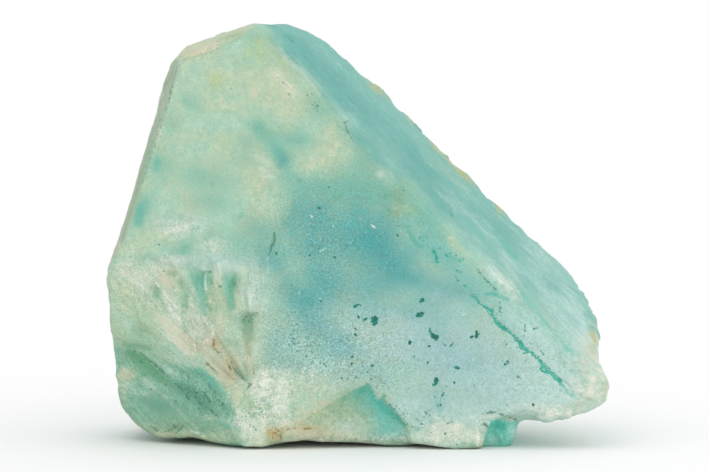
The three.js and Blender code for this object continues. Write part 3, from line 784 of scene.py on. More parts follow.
def wear(mesh):
    """Wears facets and ridge away, makes the slots shallow, and lets the outline out and in."""
    points = points_of(mesh)
    block = to_block(points)
    place = in_picture(block)
    off_foot = points[:, 2] > FOOT_SKIN
    in_front_part = block[:, 1] < FRONT_DEPTH
    facets = off_foot & (block[:, 1] > CUT_SKIN)
    points = averaged(mesh, points, weight=0.5 * facets, rounds=6)
    points = averaged(mesh, points, weight=0.6 * ridge_wear(place) * in_front_part * off_foot, rounds=45)
    slots = soft(ovals(SLOTS, place), *SLOT_FADE) * in_front_part
    skin = averaged(mesh, points, weight=0.9 * slots, rounds=200)
    points += SLOT_FILL * (skin - points)
    outward = way_out(mesh)
    for x, y, reach, push in SWELLS:
        points += (push * ovals([(x, y, reach, reach, 0, 1)], place))[:, None] * outward
    nick = soft(ovals([NICK], place), *NICK_FADE)
    move_points(mesh, averaged(mesh, points, weight=0.6 * nick, rounds=30))


def relief_height(block, faces):
    """How far out each point is moved: the reliefs of its faces, less the depth of the marks on it."""
    total = sum(faces[name] for name in RELIEF) + 1e-6
    height = sum(faces[name] / total * relief(block) for name, relief in RELIEF.items())
    for kind, depth in DEPTH.items():
        height -= faces["seen"] * depth * soft(inside_marks(kind, in_picture(block)), *CUT_RIM)
    return height


def shape_stone(mesh):
    """Gives each face of the stone its relief, and cuts the marks in."""
    points = points_of(mesh)
    points = averaged(mesh, points, weight=0.5 * (points[:, 2] > FOOT_SKIN), rounds=4)
    move_points(mesh, points)
    normal = normals_of(mesh)
    block = to_block(points)
    height = relief_height(block, faces_of(block, turned_to_block(normal)))
    at_foot = soft(-normal[:, 2], *FOOT_LOOK) * (points[:, 2] < FOOT_SKIN)
    shaped = points + (height * (1 - at_foot))[:, None] * normal
    shaped[:, 2] = np.maximum(shaped[:, 2], 0)
    move_points(mesh, shaped)


# ---------------------------------------------------------------- colours and where they lie

LIGHT = 1.03  # how bright a white face is under the tent
SHEEN = 0.03  # how much of that comes from the surface's shine
DARKEST = 0.004


def seen_as(code):
    """The shader colour that looks like a six-figure web colour under this light."""
    values = [int(code[i : i + 2], 16) / 255 for i in (0, 2, 4)]
    linear = [v / 12.92 if v <= 0.04045 else ((v + 0.055) / 1.055) ** 2.4 for v in values]  # as sRGB has it
    return (*[max(DARKEST, (v - SHEEN) / LIGHT) for v in linear], 1.0)


MINT = seen_as("abd0ba")
MEADOW = seen_as("b7ccb0")
WHITE = seen_as("e6ebe2")
SLOPE_TINT = seen_as("80b9ae")
FLECK = seen_as("cfe6e2")

# The colour of each pigment.
PIGMENTS = {
    "teal": seen_as("79b7a5"),
    "blue": seen_as("4aa2a2"),
    "frost": seen_as("a4c7c9"),
    "aqua": seen_as("82c0b8"),
    "sea": seen_as("62a89f"),
    "mist": seen_as("bedad3"),
    "cream": seen_as("c3cfb0"),
    "ivory": seen_as("dce2d2"),
    "pink": seen_as("cdc2a4"),
    "sage": seen_as("8fb291"),
    "olive": seen_as("a0ae8c"),
    "forest": seen_as("5c936c"),
    "deep": seen_as("4a9c89"),
    "lagoon": seen_as("63c4b4"),
    "lime": seen_as("b3c998"),
    "straw": seen_as("b8b983"),
    "ochre": seen_as("b5a06a"),
    "jade": seen_as("8dbca4"),
    "moss": seen_as("56917b"),
    # This teal is paler than the stone's own: painted light against the shade on the knob and on the chip's
    # lower right.
    "foam": seen_as("7ed5c1"),
    "putty": seen_as("b9c4ac"),
}

# The ovals of each pigment, painted one pigment over the other in this order.
OVALS = {
    "teal": [
        (258, 127, 20, 10, 50, 0.9), (277, 151, 18, 9, 50, 0.9), (325, 188, 40, 14, 0, 0.7),
        (205, 178, 34, 16, 10, 0.5), (190, 100, 14, 8, 40, 0.6), (208, 205, 20, 12, 0, 0.5),
        (440, 255, 24, 12, 30, 0.7), (425, 220, 40, 14, 45, 0.9), (160, 160, 14, 14, 0, 0.6),
        (170, 125, 8, 14, 0, 0.4), (140, 212, 10, 20, 15, 0.9), (182, 248, 15, 9, -10, 0.7),
        (365, 190, 44, 24, 20, 0.8), (318, 105, 18, 12, 45, 0.5), (272, 352, 10, 16, 0, 0.6),
        (246, 144, 12, 9, 0, 0.5), (240, 245, 24, 18, 0, 0.5), (495, 290, 20, 10, 40, 0.4),
        (345, 130, 12, 30, -40, 0.7), (292, 176, 12, 9, 0, 0.5), (210, 243, 10, 12, 0, 0.5),
        (245, 160, 14, 10, 0, 0.4), (265, 245, 16, 34, 0, 0.6), (290, 160, 12, 14, 0, 0.6),
        (273, 36, 7, 7, 0, 0.6), (358, 165, 12, 14, 0, 0.4), (294, 137, 22, 10, 10, 0.75),
    ],
    "blue": [
        (345, 240, 60, 40, 18, 0.6), (372, 236, 34, 22, 20, 0.8), (360, 252, 26, 12, 10, 0.3),
        (358, 209, 12, 12, 0, 0.3), (388, 262, 30, 20, 20, 0.7), (405, 276, 32, 14, 5, 0.7),
        (316, 212, 24, 20, 0, 0.6), (290, 215, 12, 22, 20, 0.6), (308, 246, 24, 22, 0, 0.6),
        (326, 284, 28, 26, 0, 0.75), (303, 300, 20, 18, 0, 0.8), (315, 322, 24, 18, 30, 0.7),
        (337, 342, 22, 14, 20, 0.6), (272, 262, 14, 14, 0, 0.6), (284, 160, 7, 9, 0, 0.6),
        (445, 290, 34, 12, 10, 0.6), (285, 335, 18, 26, 0, 0.3), (348, 352, 26, 12, 0, 0.5),
        (455, 366, 30, 9, 0, 0.4), (437, 400, 8, 20, 0, 0.35), (465, 290, 28, 10, 40, 0.4),
        (372, 290, 34, 16, 0, 0.6), (255, 225, 16, 14, 0, 0.3), (392, 215, 16, 18, 0, 0.45),
        (290, 365, 16, 12, 0, 0.4), (286, 284, 10, 14, 0, 0.5), (412, 250, 16, 10, 0, 0.4),
        (395, 312, 60, 12, 4, 0.45), (436, 330, 14, 22, 0, 0.4), (368, 372, 24, 9, 0, 0.35),
        (372, 162, 10, 20, -20, 0.35), (390, 190, 12, 12, 0, 0.35), (444, 346, 16, 10, 0, 0.35),
        (460, 359, 22, 9, 0, 0.4), (432, 302, 24, 11, 0, 0.4), (415, 318, 10, 10, 0, 0.3),
        (378, 318, 10, 9, 0, 0.4),
    ],
    "frost": [
        (420, 345, 104, 40, 12, 0.7), (500, 385, 76, 32, 20, 0.7), (540, 350, 50, 18, 48, 0.5),
        (330, 375, 60, 22, 0, 0.5), (470, 330, 60, 20, 45, 0.4), (232, 262, 30, 9, 0, 0.4),
        (440, 410, 60, 24, 0, 0.6), (178, 226, 24, 12, 0, 0.5), (285, 345, 26, 18, 0, 0.4),
        (178, 262, 20, 7, 0, 0.6), (200, 328, 22, 22, 0, 0.35),
    ],
    "aqua": [
        (465, 275, 50, 16, 44, 0.7), (500, 312, 36, 12, 44, 0.4), (562, 345, 20, 8, 50, 0.3),
        (425, 240, 34, 14, 40, 0.4), (262, 280, 14, 30, 0, 0.3), (524, 320, 24, 12, 40, 0.35),
        (560, 320, 24, 6, 60, 0.3),
    ],
    "sea": [
        (305, 55, 40, 13, 42, 0.9), (352, 103, 34, 12, 44, 0.9), (365, 140, 34, 8, 48, 0.7),
        (418, 162, 44, 12, 46, 0.95), (435, 196, 30, 11, 50, 0.8), (505, 235, 44, 7, 46, 0.6),
        (520, 272, 26, 6, 46, 0.3), (552, 312, 22, 5, 62, 0.3), (335, 78, 22, 7, 42, 0.8),
        (300, 40, 18, 6, 40, 0.5), (408, 172, 16, 9, 46, 0.7), (474, 217, 14, 7, 46, 0.6),
        (552, 284, 26, 6, 50, 0.6), (375, 116, 22, 10, 45, 0.5),
    ],
    "mist": [
        (497, 277, 28, 6, 50, 0.6), (562, 322, 30, 9, 60, 0.35), (476, 222, 46, 4, 46, 0.3),
        (550, 262, 34, 6, 46, 0.4), (545, 365, 60, 20, 42, 0.7), (388, 178, 12, 8, 0, 0.2),
        (585, 345, 12, 30, -10, 0.8), (560, 400, 44, 14, 0, 0.8), (575, 372, 24, 14, 0, 0.7),
        (549, 303, 26, 6, 58, 0.5), (538, 268, 24, 10, 46, 0.4), (584, 322, 16, 5, 70, 0.6),
        (412, 408, 16, 8, 0, 0.5), (484, 418, 46, 14, 0, 0.7), (255, 292, 12, 26, 0, 0.6),
        (214, 263, 14, 6, 0, 0.5), (164, 290, 8, 8, 0, 0.5), (345, 118, 14, 8, 40, 0.3),
        (528, 328, 34, 8, 45, 0.6), (510, 262, 18, 5, 46, 0.5), (500, 385, 50, 20, 10, 0.25),
        (540, 388, 44, 14, 5, 0.5), (402, 411, 9, 9, 0, 0.7), (570, 304, 24, 9, 52, 0.6),
    ],
    "cream": [
        (218, 77, 12, 8, 0, 0.8), (285, 88, 16, 7, 45, 0.8), (258, 95, 24, 18, 0, 0.4),
        (284, 108, 18, 11, 20, 0.6), (222, 106, 26, 14, 0, 0.5), (335, 147, 16, 16, 0, 0.65),
        (312, 163, 16, 10, 0, 0.6), (330, 128, 16, 8, 20, 0.4), (262, 188, 18, 18, 0, 0.5),
        (262, 212, 14, 12, 0, 0.4), (205, 60, 20, 10, 0, 0.4), (150, 240, 28, 10, -20, 0.5),
        (452, 240, 18, 5, 48, 0.5), (230, 150, 20, 8, 0, 0.3), (398, 210, 8, 8, 0, 0.3),
        (305, 388, 34, 14, -15, 0.6), (350, 428, 34, 10, 0, 0.8), (222, 330, 24, 40, -15, 0.5),
        (125, 290, 14, 20, 0, 0.6), (238, 430, 34, 12, 0, 0.6), (310, 415, 26, 14, -20, 0.7),
        (440, 168, 34, 3, 46, 0.2), (180, 75, 14, 20, 0, 0.4), (145, 308, 14, 12, 0, 0.5),
        (192, 140, 14, 10, 0, 0.4), (176, 284, 14, 12, 0, 0.5), (286, 116, 10, 6, 0, 0.3),
    ],
    "ivory": [
        (148, 276, 20, 14, 0, 0.7), (125, 268, 10, 14, 0, 0.5), (173, 322, 14, 28, -32, 0.8),
        (255, 300, 10, 30, 0, 0.4), (266, 383, 16, 14, 0, 0.7), (284, 396, 8, 20, 0, 0.7),
        (440, 434, 24, 12, 0, 0.9), (470, 434, 14, 12, 0, 0.8), (590, 392, 18, 16, 0, 0.8),
        (556, 412, 36, 8, 0, 0.7), (598, 350, 7, 22, 0, 0.7), (505, 282, 22, 6, 48, 0.4),
        (255, 425, 24, 14, 0, 0.6), (180, 228, 18, 9, 0, 0.5), (196, 322, 9, 26, -20, 0.7),
        (218, 272, 5, 10, 0, 0.6), (180, 334, 10, 20, -32, 0.5), (211, 328, 6, 12, 0, 0.6),
        # The long ivory oval at (350, 442), along the foot's edge, is partly the stone's pale rim and
        # partly painted light on the shaded underside.
        (176, 262, 14, 6, 0, 0.4), (214, 248, 16, 8, 0, 0.4), (350, 442, 90, 8, 0, 0.8),
        (305, 372, 12, 8, 0, 0.3),
    ],
    "pink": [
        (168, 283, 10, 9, 0, 0.4), (188, 340, 12, 18, -30, 0.4), (213, 345, 12, 20, -20, 0.6),
        (228, 372, 12, 14, -20, 0.7), (310, 428, 30, 9, 0, 0.6), (125, 376, 8, 6, 0, 0.6),
        (606, 392, 4, 12, 0, 0.3), (248, 352, 7, 22, 0, 0.4), (586, 358, 10, 18, 0, 0.4),
        (318, 405, 20, 8, -30, 0.4), (203, 348, 14, 8, 20, 0.4), (234, 362, 14, 12, -20, 0.35),
    ],
    "olive": [
        (252, 372, 6, 12, -30, 0.3), (166, 358, 18, 5, 25, 0.25), (580, 402, 16, 5, -20, 0.4),
        (460, 168, 16, 3, 46, 0.5),
    ],
    "sage": [
        (400, 190, 14, 12, 0, 0.5), (397, 212, 9, 8, 0, 0.5), (142, 332, 20, 16, 0, 0.6),
        (158, 296, 6, 18, 0, 0.3), (182, 300, 6, 20, -10, 0.2), (250, 325, 8, 15, 0, 0.8),
        (246, 372, 6, 12, -30, 0.6), (340, 403, 24, 8, -32, 0.7), (218, 309, 6, 8, 0, 0.5),
        (255, 35, 12, 8, 0, 0.4), (260, 402, 12, 9, 0, 0.5), (255, 417, 6, 5, 0, 0.8),
        (205, 300, 7, 12, 0, 0.3), (247, 334, 5, 8, 0, 0.5), (236, 346, 6, 5, 0, 0.5),
        (118, 345, 4, 20, 0, 0.4), (231, 308, 5, 22, -8, 0.4), (228, 37, 22, 4, -25, 0.4),
    ],
    "forest": [(233, 280, 3, 7, 0, 0.4), (228, 400, 10, 4, 50, 0.3), (250, 322, 5, 8, 0, 0.3)],
    "deep": [(201, 280, 4, 12, 0, 0.2), (233, 279, 3, 6, 0, 0.3), (245, 322, 8, 5, 0, 0.3)],
    "lagoon": [(204, 278, 6, 8, 0, 0.6), (230, 282, 5, 11, 0, 0.45)],
    "lime": [
        (216, 80, 9, 8, 0, 0.7), (258, 50, 12, 9, 0, 0.6), (262, 38, 5, 7, 0, 0.4),
        (286, 62, 12, 4, 50, 0.4), (226, 142, 8, 6, 0, 0.4), (284, 208, 8, 16, 0, 0.2),
        (453, 243, 9, 5, 45, 0.2), (408, 208, 8, 6, 0, 0.5),
    ],
    "straw": [
        (378, 88, 13, 3, 42, 0.9), (409, 117, 9, 2, 42, 0.7), (438, 149, 12, 4, 42, 0.9),
        (462, 170, 16, 6, 47, 1), (500, 209, 9, 4, 48, 0.9), (594, 339, 4, 14, 0, 0.8),
        (274, 433, 6, 11, 0, 0.7),
    ],
    "ochre": [(274, 433, 4, 9, 0, 0.4), (216, 346, 4, 5, 0, 0.3), (594, 336, 3, 7, 0, 0.3)],
}

# Patches with an outline: how far it wanders and how soft it is, in pixels, their ground, and the pigments
# over it.
PATCHES = {
    "chip": (CHIP, 0, 0.6, "sage", {
        "teal": [(370, 400, 24, 16, 30, 0.9), (345, 398, 22, 9, -30, 0.4)],
        "olive": [(318, 410, 30, 5, -31, 0.8), (290, 424, 20, 6, -20, 0.6)],
        "cream": [(345, 428, 34, 13, 0, 0.9), (296, 434, 26, 10, 0, 0.9), (330, 414, 22, 8, -20, 0.4)],
        "pink": [(298, 429, 20, 5, 0, 0.7), (318, 435, 30, 7, 0, 0.6)],
        # Towards the chip's lower right the aqua, mist and paler teal ovals below are partly its own pale
        # teal and partly painted light against the shade of its face.
        "aqua": [(384, 416, 20, 12, 40, 0.8), (398, 424, 12, 8, 40, 0.6), (384, 434, 16, 10, 0, 0.8)],
        "mist": [(404, 434, 12, 10, 30, 0.6), (352, 425, 20, 9, 0, 0.5), (402, 414, 9, 8, 40, 0.5)],
        "foam": [(392, 428, 20, 9, 30, 0.5), (386, 411, 16, 6, 45, 0.3)],
        "lagoon": [(382, 408, 16, 5, 45, 0.6), (374, 398, 8, 5, 45, 0.4)],
        "deep": [(364, 392, 9, 6, -20, 0.5)],
        # Along the foot's edge: partly the pale rim, partly painted light on the shaded underside.
        "ivory": [(350, 442, 80, 6, 0, 0.7)],
        "ochre": [(276, 433, 6, 10, 0, 0.75), (310, 429, 10, 3, 0, 0.4)],
    }),
    "flake": (FLAKE, 1.5, 3.5, "jade", {
        "forest": [(140, 357, 16, 6, 18, 0.7), (154, 369, 16, 5, 38, 0.7), (168, 381, 12, 4, 38, 0.4)],
        "moss": [
            (186, 391, 18, 8, 35, 0.75), (205, 403, 12, 7, 45, 0.7), (214, 389, 8, 7, 45, 0.4),
            (156, 405, 20, 7, 25, 0.4), (201, 375, 12, 5, 25, 0.5), (176, 408, 26, 5, 35, 0.3),
            (226, 410, 8, 4, 60, 0.4),
        ],
        "mist": [(136, 390, 16, 4, 20, 0.4), (168, 398, 14, 2, 38, 0.25), (172, 373, 14, 3, 30, 0.4)],
        "sage": [(146, 366, 30, 14, 30, 0.4), (215, 425, 24, 10, 20, 0.5), (180, 424, 40, 7, 10, 0.5)],
        # The two lowest, at (150, 434) and (200, 438), are partly the pale rim and partly painted light on
        # the shaded underside.
        "cream": [
            (122, 375, 9, 8, 0, 0.9), (124, 395, 5, 16, 0, 0.6), (150, 434, 34, 8, 10, 0.8),
            (200, 438, 36, 7, 0, 0.8),
        ],
        "olive": [(176, 429, 12, 4, -20, 0.6), (160, 427, 10, 3, 20, 0.3)],
    }),
    # The knob's ground is painted paler than its own teal: painted light over the shade it lies in.
    "knob": (KNOB, 0.5, 0.8, "foam", {
        "lagoon": [(497, 428, 10, 7, 20, 0.6), (488, 427, 6, 6, 0, 0.5)],
        "mist": [(498, 438, 11, 3, 40, 0.5), (514, 434, 6, 14, 0, 0.7), (490, 442, 8, 5, 0, 0.5)],
    }),
    "sliver": (SLIVER, 2, 1.5, "putty", {
        "olive": [(166, 84, 5, 34, 14, 0.7), (146, 140, 3, 40, 18, 0.5)],
        "cream": [(176, 62, 5, 10, 20, 0.6)],
        "jade": [(152, 150, 16, 14, 0, 0.5)],
        "sage": [(150, 160, 16, 60, 15, 0.45)],
        "ivory": [(158, 110, 16, 60, 15, 0.4)],
    }),
    "bevel": (BEVEL, 1, 1.2, "cream", {
        "pink": [(200, 50, 18, 4, -16, 0.55)],
        "sage": [(230, 38, 20, 4, -25, 0.6), (215, 53, 24, 2, -16, 0.5)],
        "ivory": [(212, 46, 20, 3, -16, 0.25)],
    }),
}

# Where fine dark specks are thick on the ground.
SPECKLED = [
    (312, 340, 40, 30, 20, 0.9), (275, 350, 18, 24, 0, 0.6), (360, 374, 44, 14, 0, 0.9),
    (440, 402, 10, 22, 0, 0.7), (420, 428, 22, 10, 0, 0.7), (300, 300, 30, 40, 0, 0.6),
    (480, 380, 80, 40, 20, 0.3), (395, 195, 22, 18, 0, 0.5), (200, 395, 44, 20, 32, 0.9),
    (455, 440, 30, 6, 0, 0.5), (378, 390, 18, 14, 0, 0.9), (398, 412, 14, 14, 0, 0.9),
    (406, 428, 16, 8, 0, 0.8), (430, 235, 50, 16, 45, 0.5), (360, 240, 60, 40, 0, 0.3),
    (260, 255, 30, 14, 0, 0.5), (320, 110, 14, 10, 0, 0.4), (345, 130, 10, 20, -40, 0.4),
    (262, 405, 26, 22, 0, 0.8), (540, 385, 40, 16, 0, 0.5), (488, 428, 12, 12, 0, 0.8),
    (460, 350, 80, 40, 0, 0.3), (500, 330, 40, 20, 40, 0.5), (145, 362, 30, 14, 30, 0.6),
    (160, 380, 24, 10, 30, 0.7),
]

# Where the fine light and shade is strong.
GRITTY = [
    (330, 240, 70, 60, 0, 0.8), (350, 345, 60, 40, 0, 0.7), (440, 370, 90, 50, 10, 0.2),
    (540, 370, 60, 40, 30, 0.2), (310, 350, 60, 40, 0, 0.8), (200, 330, 60, 60, 0, 0.4),
    (206, 397, 36, 20, 38, 1), (150, 365, 32, 14, 30, 0.5), (265, 405, 34, 34, 0, 0.5),
    (500, 429, 18, 12, 0, 0.6), (130, 300, 30, 50, 0, 0.4), (150, 110, 20, 90, 15, 0.5),
    (215, 45, 40, 10, -16, 0.3),
]

# Where the broken crystal edges show as a white lace.
CRUMBLED = [
    (272, 398, 22, 24, 0, 1), (284, 410, 16, 14, 0, 0.8), (250, 424, 22, 12, 0, 0.8),
    (262, 384, 12, 10, 0, 0.5),
]

# How much of each pigment lies on the hidden sides: how long its streaks along the cleavage are, and the
# noise where it begins and is full.
HIDDEN = {
    "teal": (30, -0.7, 0.6),
    "blue": (24, -0.1, 1.1),
    "frost": (26, 0.1, 1.2),
    "cream": (22, 0.1, 1.1),
    "ivory": (14, 0.6, 1.5),
    "sage": (20, 0.35, 1.3),
    "deep": (18, 0.5, 1.5),
    "ochre": (12, 0.9, 1.9),
}

SLENDER = 2.2  # how many times longer than wide the streaks on the hidden sides are

WANDER_SIZE = 4  # of the noise by which the colours' edges wander
# How many pixels they wander, and how many more for each millimetre of depth.
OVALS_STRAY = (4, 0.6)
OVER_STRAY = (2, 1.2)  # the ovals over a patch's ground
OUTLINE_STRAY = 0.5  # a patch's outline, for each millimetre of depth, besides its own
MARKS_STRAY = 0.5  # the marks, at any depth
OVALS_DEPTH = 3  # the depth from which the ovals wander more, where the stone turns away
OUTLINE_DEPTH = 4  # the depth from which outlines wander more
PAINTED = 0.5  # outlines and marks lie only where a point is seen better than this

SLOPE_EDGE = {"width": 8, "widening": 22, "fade": 0.8}  # the slope's tint past the ridge, in pixels
BRUSHED_EDGE = (-30, 6)  # pixels past the ridge where the slope's scratches begin and are full
HIDDEN_SPECKS = 0.4
HIDDEN_GRIT = 0.5
HIDDEN_LACE = {"size": 9, "fade": (0.2, 0.9), "most": 0.6}


class Painting:
    """Keeps numbers on the mesh's points for the material to read."""

    def __init__(self, mesh):
        self.mesh = mesh
        self.block = to_block(points_of(mesh))
        self.place = in_picture(self.block)
        self.faces = faces_of(self.block, turned_to_block(normals_of(mesh)))
        self.seen = self.faces["seen"]
        self.wander = np.stack(
            [fractal(self.block / WANDER_SIZE, octaves=3, seed=seed) for seed in (61, 62)],
            axis=1,
        )
        behind = np.maximum(self.block[:, 1] - OVALS_DEPTH, 0)
        self.deep = behind * (1 - self.faces["slope"]) * (1 - self.faces["facing"])
        self.roughly = self.strayed(*OVALS_STRAY, self.deep)

    def strayed(self, pixels, more=0, depth=0):
        """The places, wandering so many pixels, and so many more for each millimetre of depth."""
        return self.place + np.reshape(pixels + more * depth, (-1, 1)) * self.wander

    def keep(self, name, values, form="FLOAT", field="value"):
        """Keeps a number, or a place, for each point."""
        attribute = self.mesh.attributes.new(name, form, "POINT")
        attribute.data.foreach_set(field, values.astype(np.float32).ravel())

    def keep_inside(self, name, inside):
        """Keeps the distance inside a patch or the marks of a kind."""
        self.keep(name, np.where(self.seen > PAINTED, inside, -FAR))

    def keep_both(self, name, near, far):
        """Keeps one number where a point is seen, and the other on the hidden sides."""
        self.keep(name, self.seen * near + (1 - self.seen) * far)

    def hidden_streaks(self, length, begins, full, seed):
        drawn_out = stretched(self.block, BACK_ALONG, BACK_ACROSS, length, length / SLENDER)
        return soft(fractal(drawn_out, octaves=4, seed=seed), begins, full)

    def keep_pigments(self):
        for index, (name, spots) in enumerate(OVALS.items()):
            far = self.hidden_streaks(*HIDDEN[name], seed=70 + 5 * index) if name in HIDDEN else 0
            self.keep_both(name, ovals(spots, self.roughly), far)

    def keep_patches(self):
        behind = np.maximum(self.block[:, 1] - OUTLINE_DEPTH, 0)
        for patch, (outline, stray, _, _, over) in PATCHES.items():
            inside = within(outline, self.strayed(stray, OUTLINE_STRAY, behind))
            self.keep_inside(patch, np.clip(inside, -FAR, FAR))
            for name, spots in over.items():
                self.keep(f"{patch} {name}", ovals(spots, self.strayed(*OVER_STRAY, self.deep)))

    def keep_marks(self):
        for kind in LOOKS:
            self.keep_inside(f"{kind} marks", inside_marks(kind, self.strayed(MARKS_STRAY)))

    def keep_slope(self):
        """Keeps where the right slope's own tint lies, and where it is scratched."""
        off_ridge, travelled = along_line(RIDGE_LINE, self.roughly)
        width = SLOPE_EDGE["width"] + travelled / SLOPE_EDGE["widening"]
        self.keep("slope", self.seen * soft(-off_ridge / width, -SLOPE_EDGE["fade"], SLOPE_EDGE["fade"]))
        self.keep("brushed", self.seen * soft(-off_ridge, *BRUSHED_EDGE))

    def keep_grain(self):
        """Keeps where the specks, the fine light and shade and the white lace are."""
        lace = soft(fractal(self.block / HIDDEN_LACE["size"], octaves=2, seed=91), *HIDDEN_LACE["fade"])
        self.keep_both("speckled", ovals(SPECKLED, self.roughly), HIDDEN_SPECKS)
        self.keep_both("gritty", ovals(GRITTY, self.roughly), HIDDEN_GRIT)
        self.keep_both("crumbled", ovals(CRUMBLED, self.roughly), HIDDEN_LACE["most"] * lace)

    def keep_faces(self):
        """Keeps the hollow, with its fan of fibres, the lower left flake and the hidden sides."""
        self.keep("scoop", self.faces["scoop"])
        self.keep("flake_face", self.faces["flake"])
        self.keep("hidden", 1 - self.seen)
        self.keep("fan", fan(self.block), form="FLOAT_VECTOR", field="vector")


def paint(mesh):
    painting = Painting(mesh)
    painting.keep_pigments()
    painting.keep_patches()
    painting.keep_marks()
    painting.keep_slope()
    painting.keep_grain()
    painting.keep_faces()


# ---------------------------------------------------------------- materials


class Graph:
    """Adds nodes to a material or a world.  Each call returns the new node's result."""

    def __init__(self, owner):
        owner.use_nodes = True
        self.nodes = owner.node_tree.nodes
        self.links = owner.node_tree.links

    def put(self, value, socket):
        if isinstance(value, bpy.types.NodeSocket):
            self.links.new(value, socket)
        elif value is not None:
            socket.default_value = value

    def add(self, kind, inputs=(), result=0, **settings):
        node = self.nodes.new("ShaderNode" + kind)
        for name, value in settings.items():
            setattr(node, name, value)
        for place, value in dict(inputs).items():
            self.put(value, node.inputs[place])
        return node.outputs[result]

    def kept(self, name, result="Fac"):
        """What was kept for each point under this name."""
        return self.add("Attribute", attribute_name=name, result=result)

    def math(self, operation, a, b=None):
        return self.add("Math", {0: a, 1: b}, operation=operation)

    def times(self, a, b):
        return self.math("MULTIPLY", a, b)

    def plus(self, a, b):
        return self.math("ADD", a, b)

    def minus(self, a, b):
        return self.math("SUBTRACT", a, b)

    def larger(self, a, b):
        return self.math("MAXIMUM", a, b)

    def scaled(self, vector, factors):
        """The vector with each of its parts multiplied."""
        return self.add("VectorMath", {0: vector, 1: factors}, operation="MULTIPLY")

    def along(self, vector, axis):
        """How long the vector is along an axis."""
        return self.add("VectorMath", {0: vector, 1: tuple(axis)}, result=1, operation="DOT_PRODUCT")

    def soft(self, value, low, high):
        ends = {"Value": value, "From Min": low, "From Max": high}
        return self.add("MapRange", ends, interpolation_type="SMOOTHSTEP")

    def noise(self, vector, size=1.0, detail=3.0, roughness=0.55):
        """Noise that is 0 on average and reaches about 1 either way."""
        inputs = {"Vector": vector, "Scale": 1 / size, "Detail": detail, "Roughness": roughness}
        return self.times(self.minus(self.add("TexNoise", inputs), 0.5), 3.0)

    def cells(self, vector, size):
        """A number from -1 to 1 for each cell of a crystalline mosaic."""
        lot = self.add("TexVoronoi", {"Vector": vector, "Scale": 1 / size}, result="Color")
        return self.times(self.minus(self.add("SeparateColor", {0: lot}), 0.5), 2.0)

    def bent(self, vector, size, amount):
        """The vector swayed by broad noise of this size."""
        sway = self.add("TexNoise", {"Vector": vector, "Scale": 1 / size, "Detail": 1.0}, result="Color")
        return self.add("VectorMath", {0: sway, 1: (amount,) * 3, 2: vector}, operation="MULTIPLY_ADD")

    def stretched(self, vector, along, across, length, width):
        """Coordinates for noise that is longer along one direction than across it."""
        axes = (along / length, across / width, np.cross(along, across) / width)
        return self.add("CombineXYZ", {place: self.along(vector, axis) for place, axis in enumerate(axes)})

    def mix(self, factor, a, b):
        return self.add("Mix", {0: factor, 6: a, 7: b}, result=2, data_type="RGBA")

    def blend(self, share, a, b):
        """Two numbers blended: a where the share is 0 and b where it is 1."""
        return self.plus(a, self.times(share, self.minus(b, a)))

    def shade(self, colour, noise, amount):
        """The colour made lighter and darker by the noise."""
        factor = self.plus(self.times(noise, amount), 1.0)
        return self.add("VectorMath", {0: colour, "Scale": factor}, operation="SCALE")

    def tinge(self, colour, noise, amount):
        """The colour made paler and deeper by the noise: its red changes twice as much as the rest."""
        strength = self.times(noise, amount)
        change = self.add("VectorMath", {0: (1, 0.5, 0.5), "Scale": strength}, operation="SCALE")
        return self.scaled(colour, self.add("VectorMath", {0: change, 1: (1, 1, 1)}, operation="ADD"))

    def grained(self, mask, grain, amount):
        """A mask that breaks up into the grain where it is neither empty nor full."""
        between = self.times(mask, self.minus(1.0, mask))
        return self.plus(mask, self.times(between, self.times(grain, 2 * amount)))

    def edged(self, name, ragged, raggedness, rim=0.4, wider=0.0):
        """1 inside an outline whose inside distance was kept, with a ragged edge."""
        inside = self.plus(self.kept(name), self.times(ragged, raggedness))
        return self.soft(inside, -rim - wider, rim - wider)


# How far the grain breaks up the edges of each pigment.
GRAININESS = {
    "teal": 0.7, "blue": 0.5, "frost": 0.8, "aqua": 0.9, "sea": 0.6, "mist": 0.7, "cream": 0.8,
    "ivory": 1.6, "pink": 1.2, "sage": 1.2, "olive": 1.2, "forest": 1.4, "deep": 1.4, "lagoon": 1.0,
    "lime": 0.8, "straw": 0.8, "ochre": 1.2, "moss": 1.6, "foam": 0.9, "jade": 1.0,
}
SLOPE_GRAININESS = 0.9
PATCH_RAGGED = 1.2  # pixels
MEADOW_WHERE = (-0.4, 0.4)  # the broad noise where the meadow ground begins and is full

# What the stone's grain is mixed from, the own grain of each kind of face, and how far it takes its place.
GRAIN_MIX = {"fine": 0.25, "small": 0.45, "middle": 0.6}
OWN_GRAIN = {"slope": "streak", "scoop": "fibre", "flake_face": "lines", "hidden": "twins"}
OWN_GRAIN_SHARE = 0.65
JAGGED_MIDDLE = 0.6  # how much of the middle noise the jagged edges have besides their cells

# How often the noise changes in a millimetre along the hollow's fibres, across them and with its depth.
FIBRE_SCALE = (0.2, 2.2, 2.2)
COLUMN_SCALE = (0.12, 0.7, 0.7)

# Thin colours where a noise is strong: the noise, where they begin and are full, their mask, how strongly
# they cover there, and the colour.
COLUMN_VEILS = [
    ("column", 0.1, 0.8, "scoop", 0.35, PIGMENTS["sage"]),
    ("column", -0.1, -0.8, "scoop", 0.4, PIGMENTS["ivory"]),
]
CRYSTAL_VEILS = [
    ("veins", 0.22, 0.02, "crumbled", 0.75, WHITE),
    ("pale_streak", 0.0, 1.2, "slope", 0.12, PIGMENTS["mist"]),
    ("twins", 0.2, 1.0, "hidden", 0.35, PIGMENTS["mist"]),
]

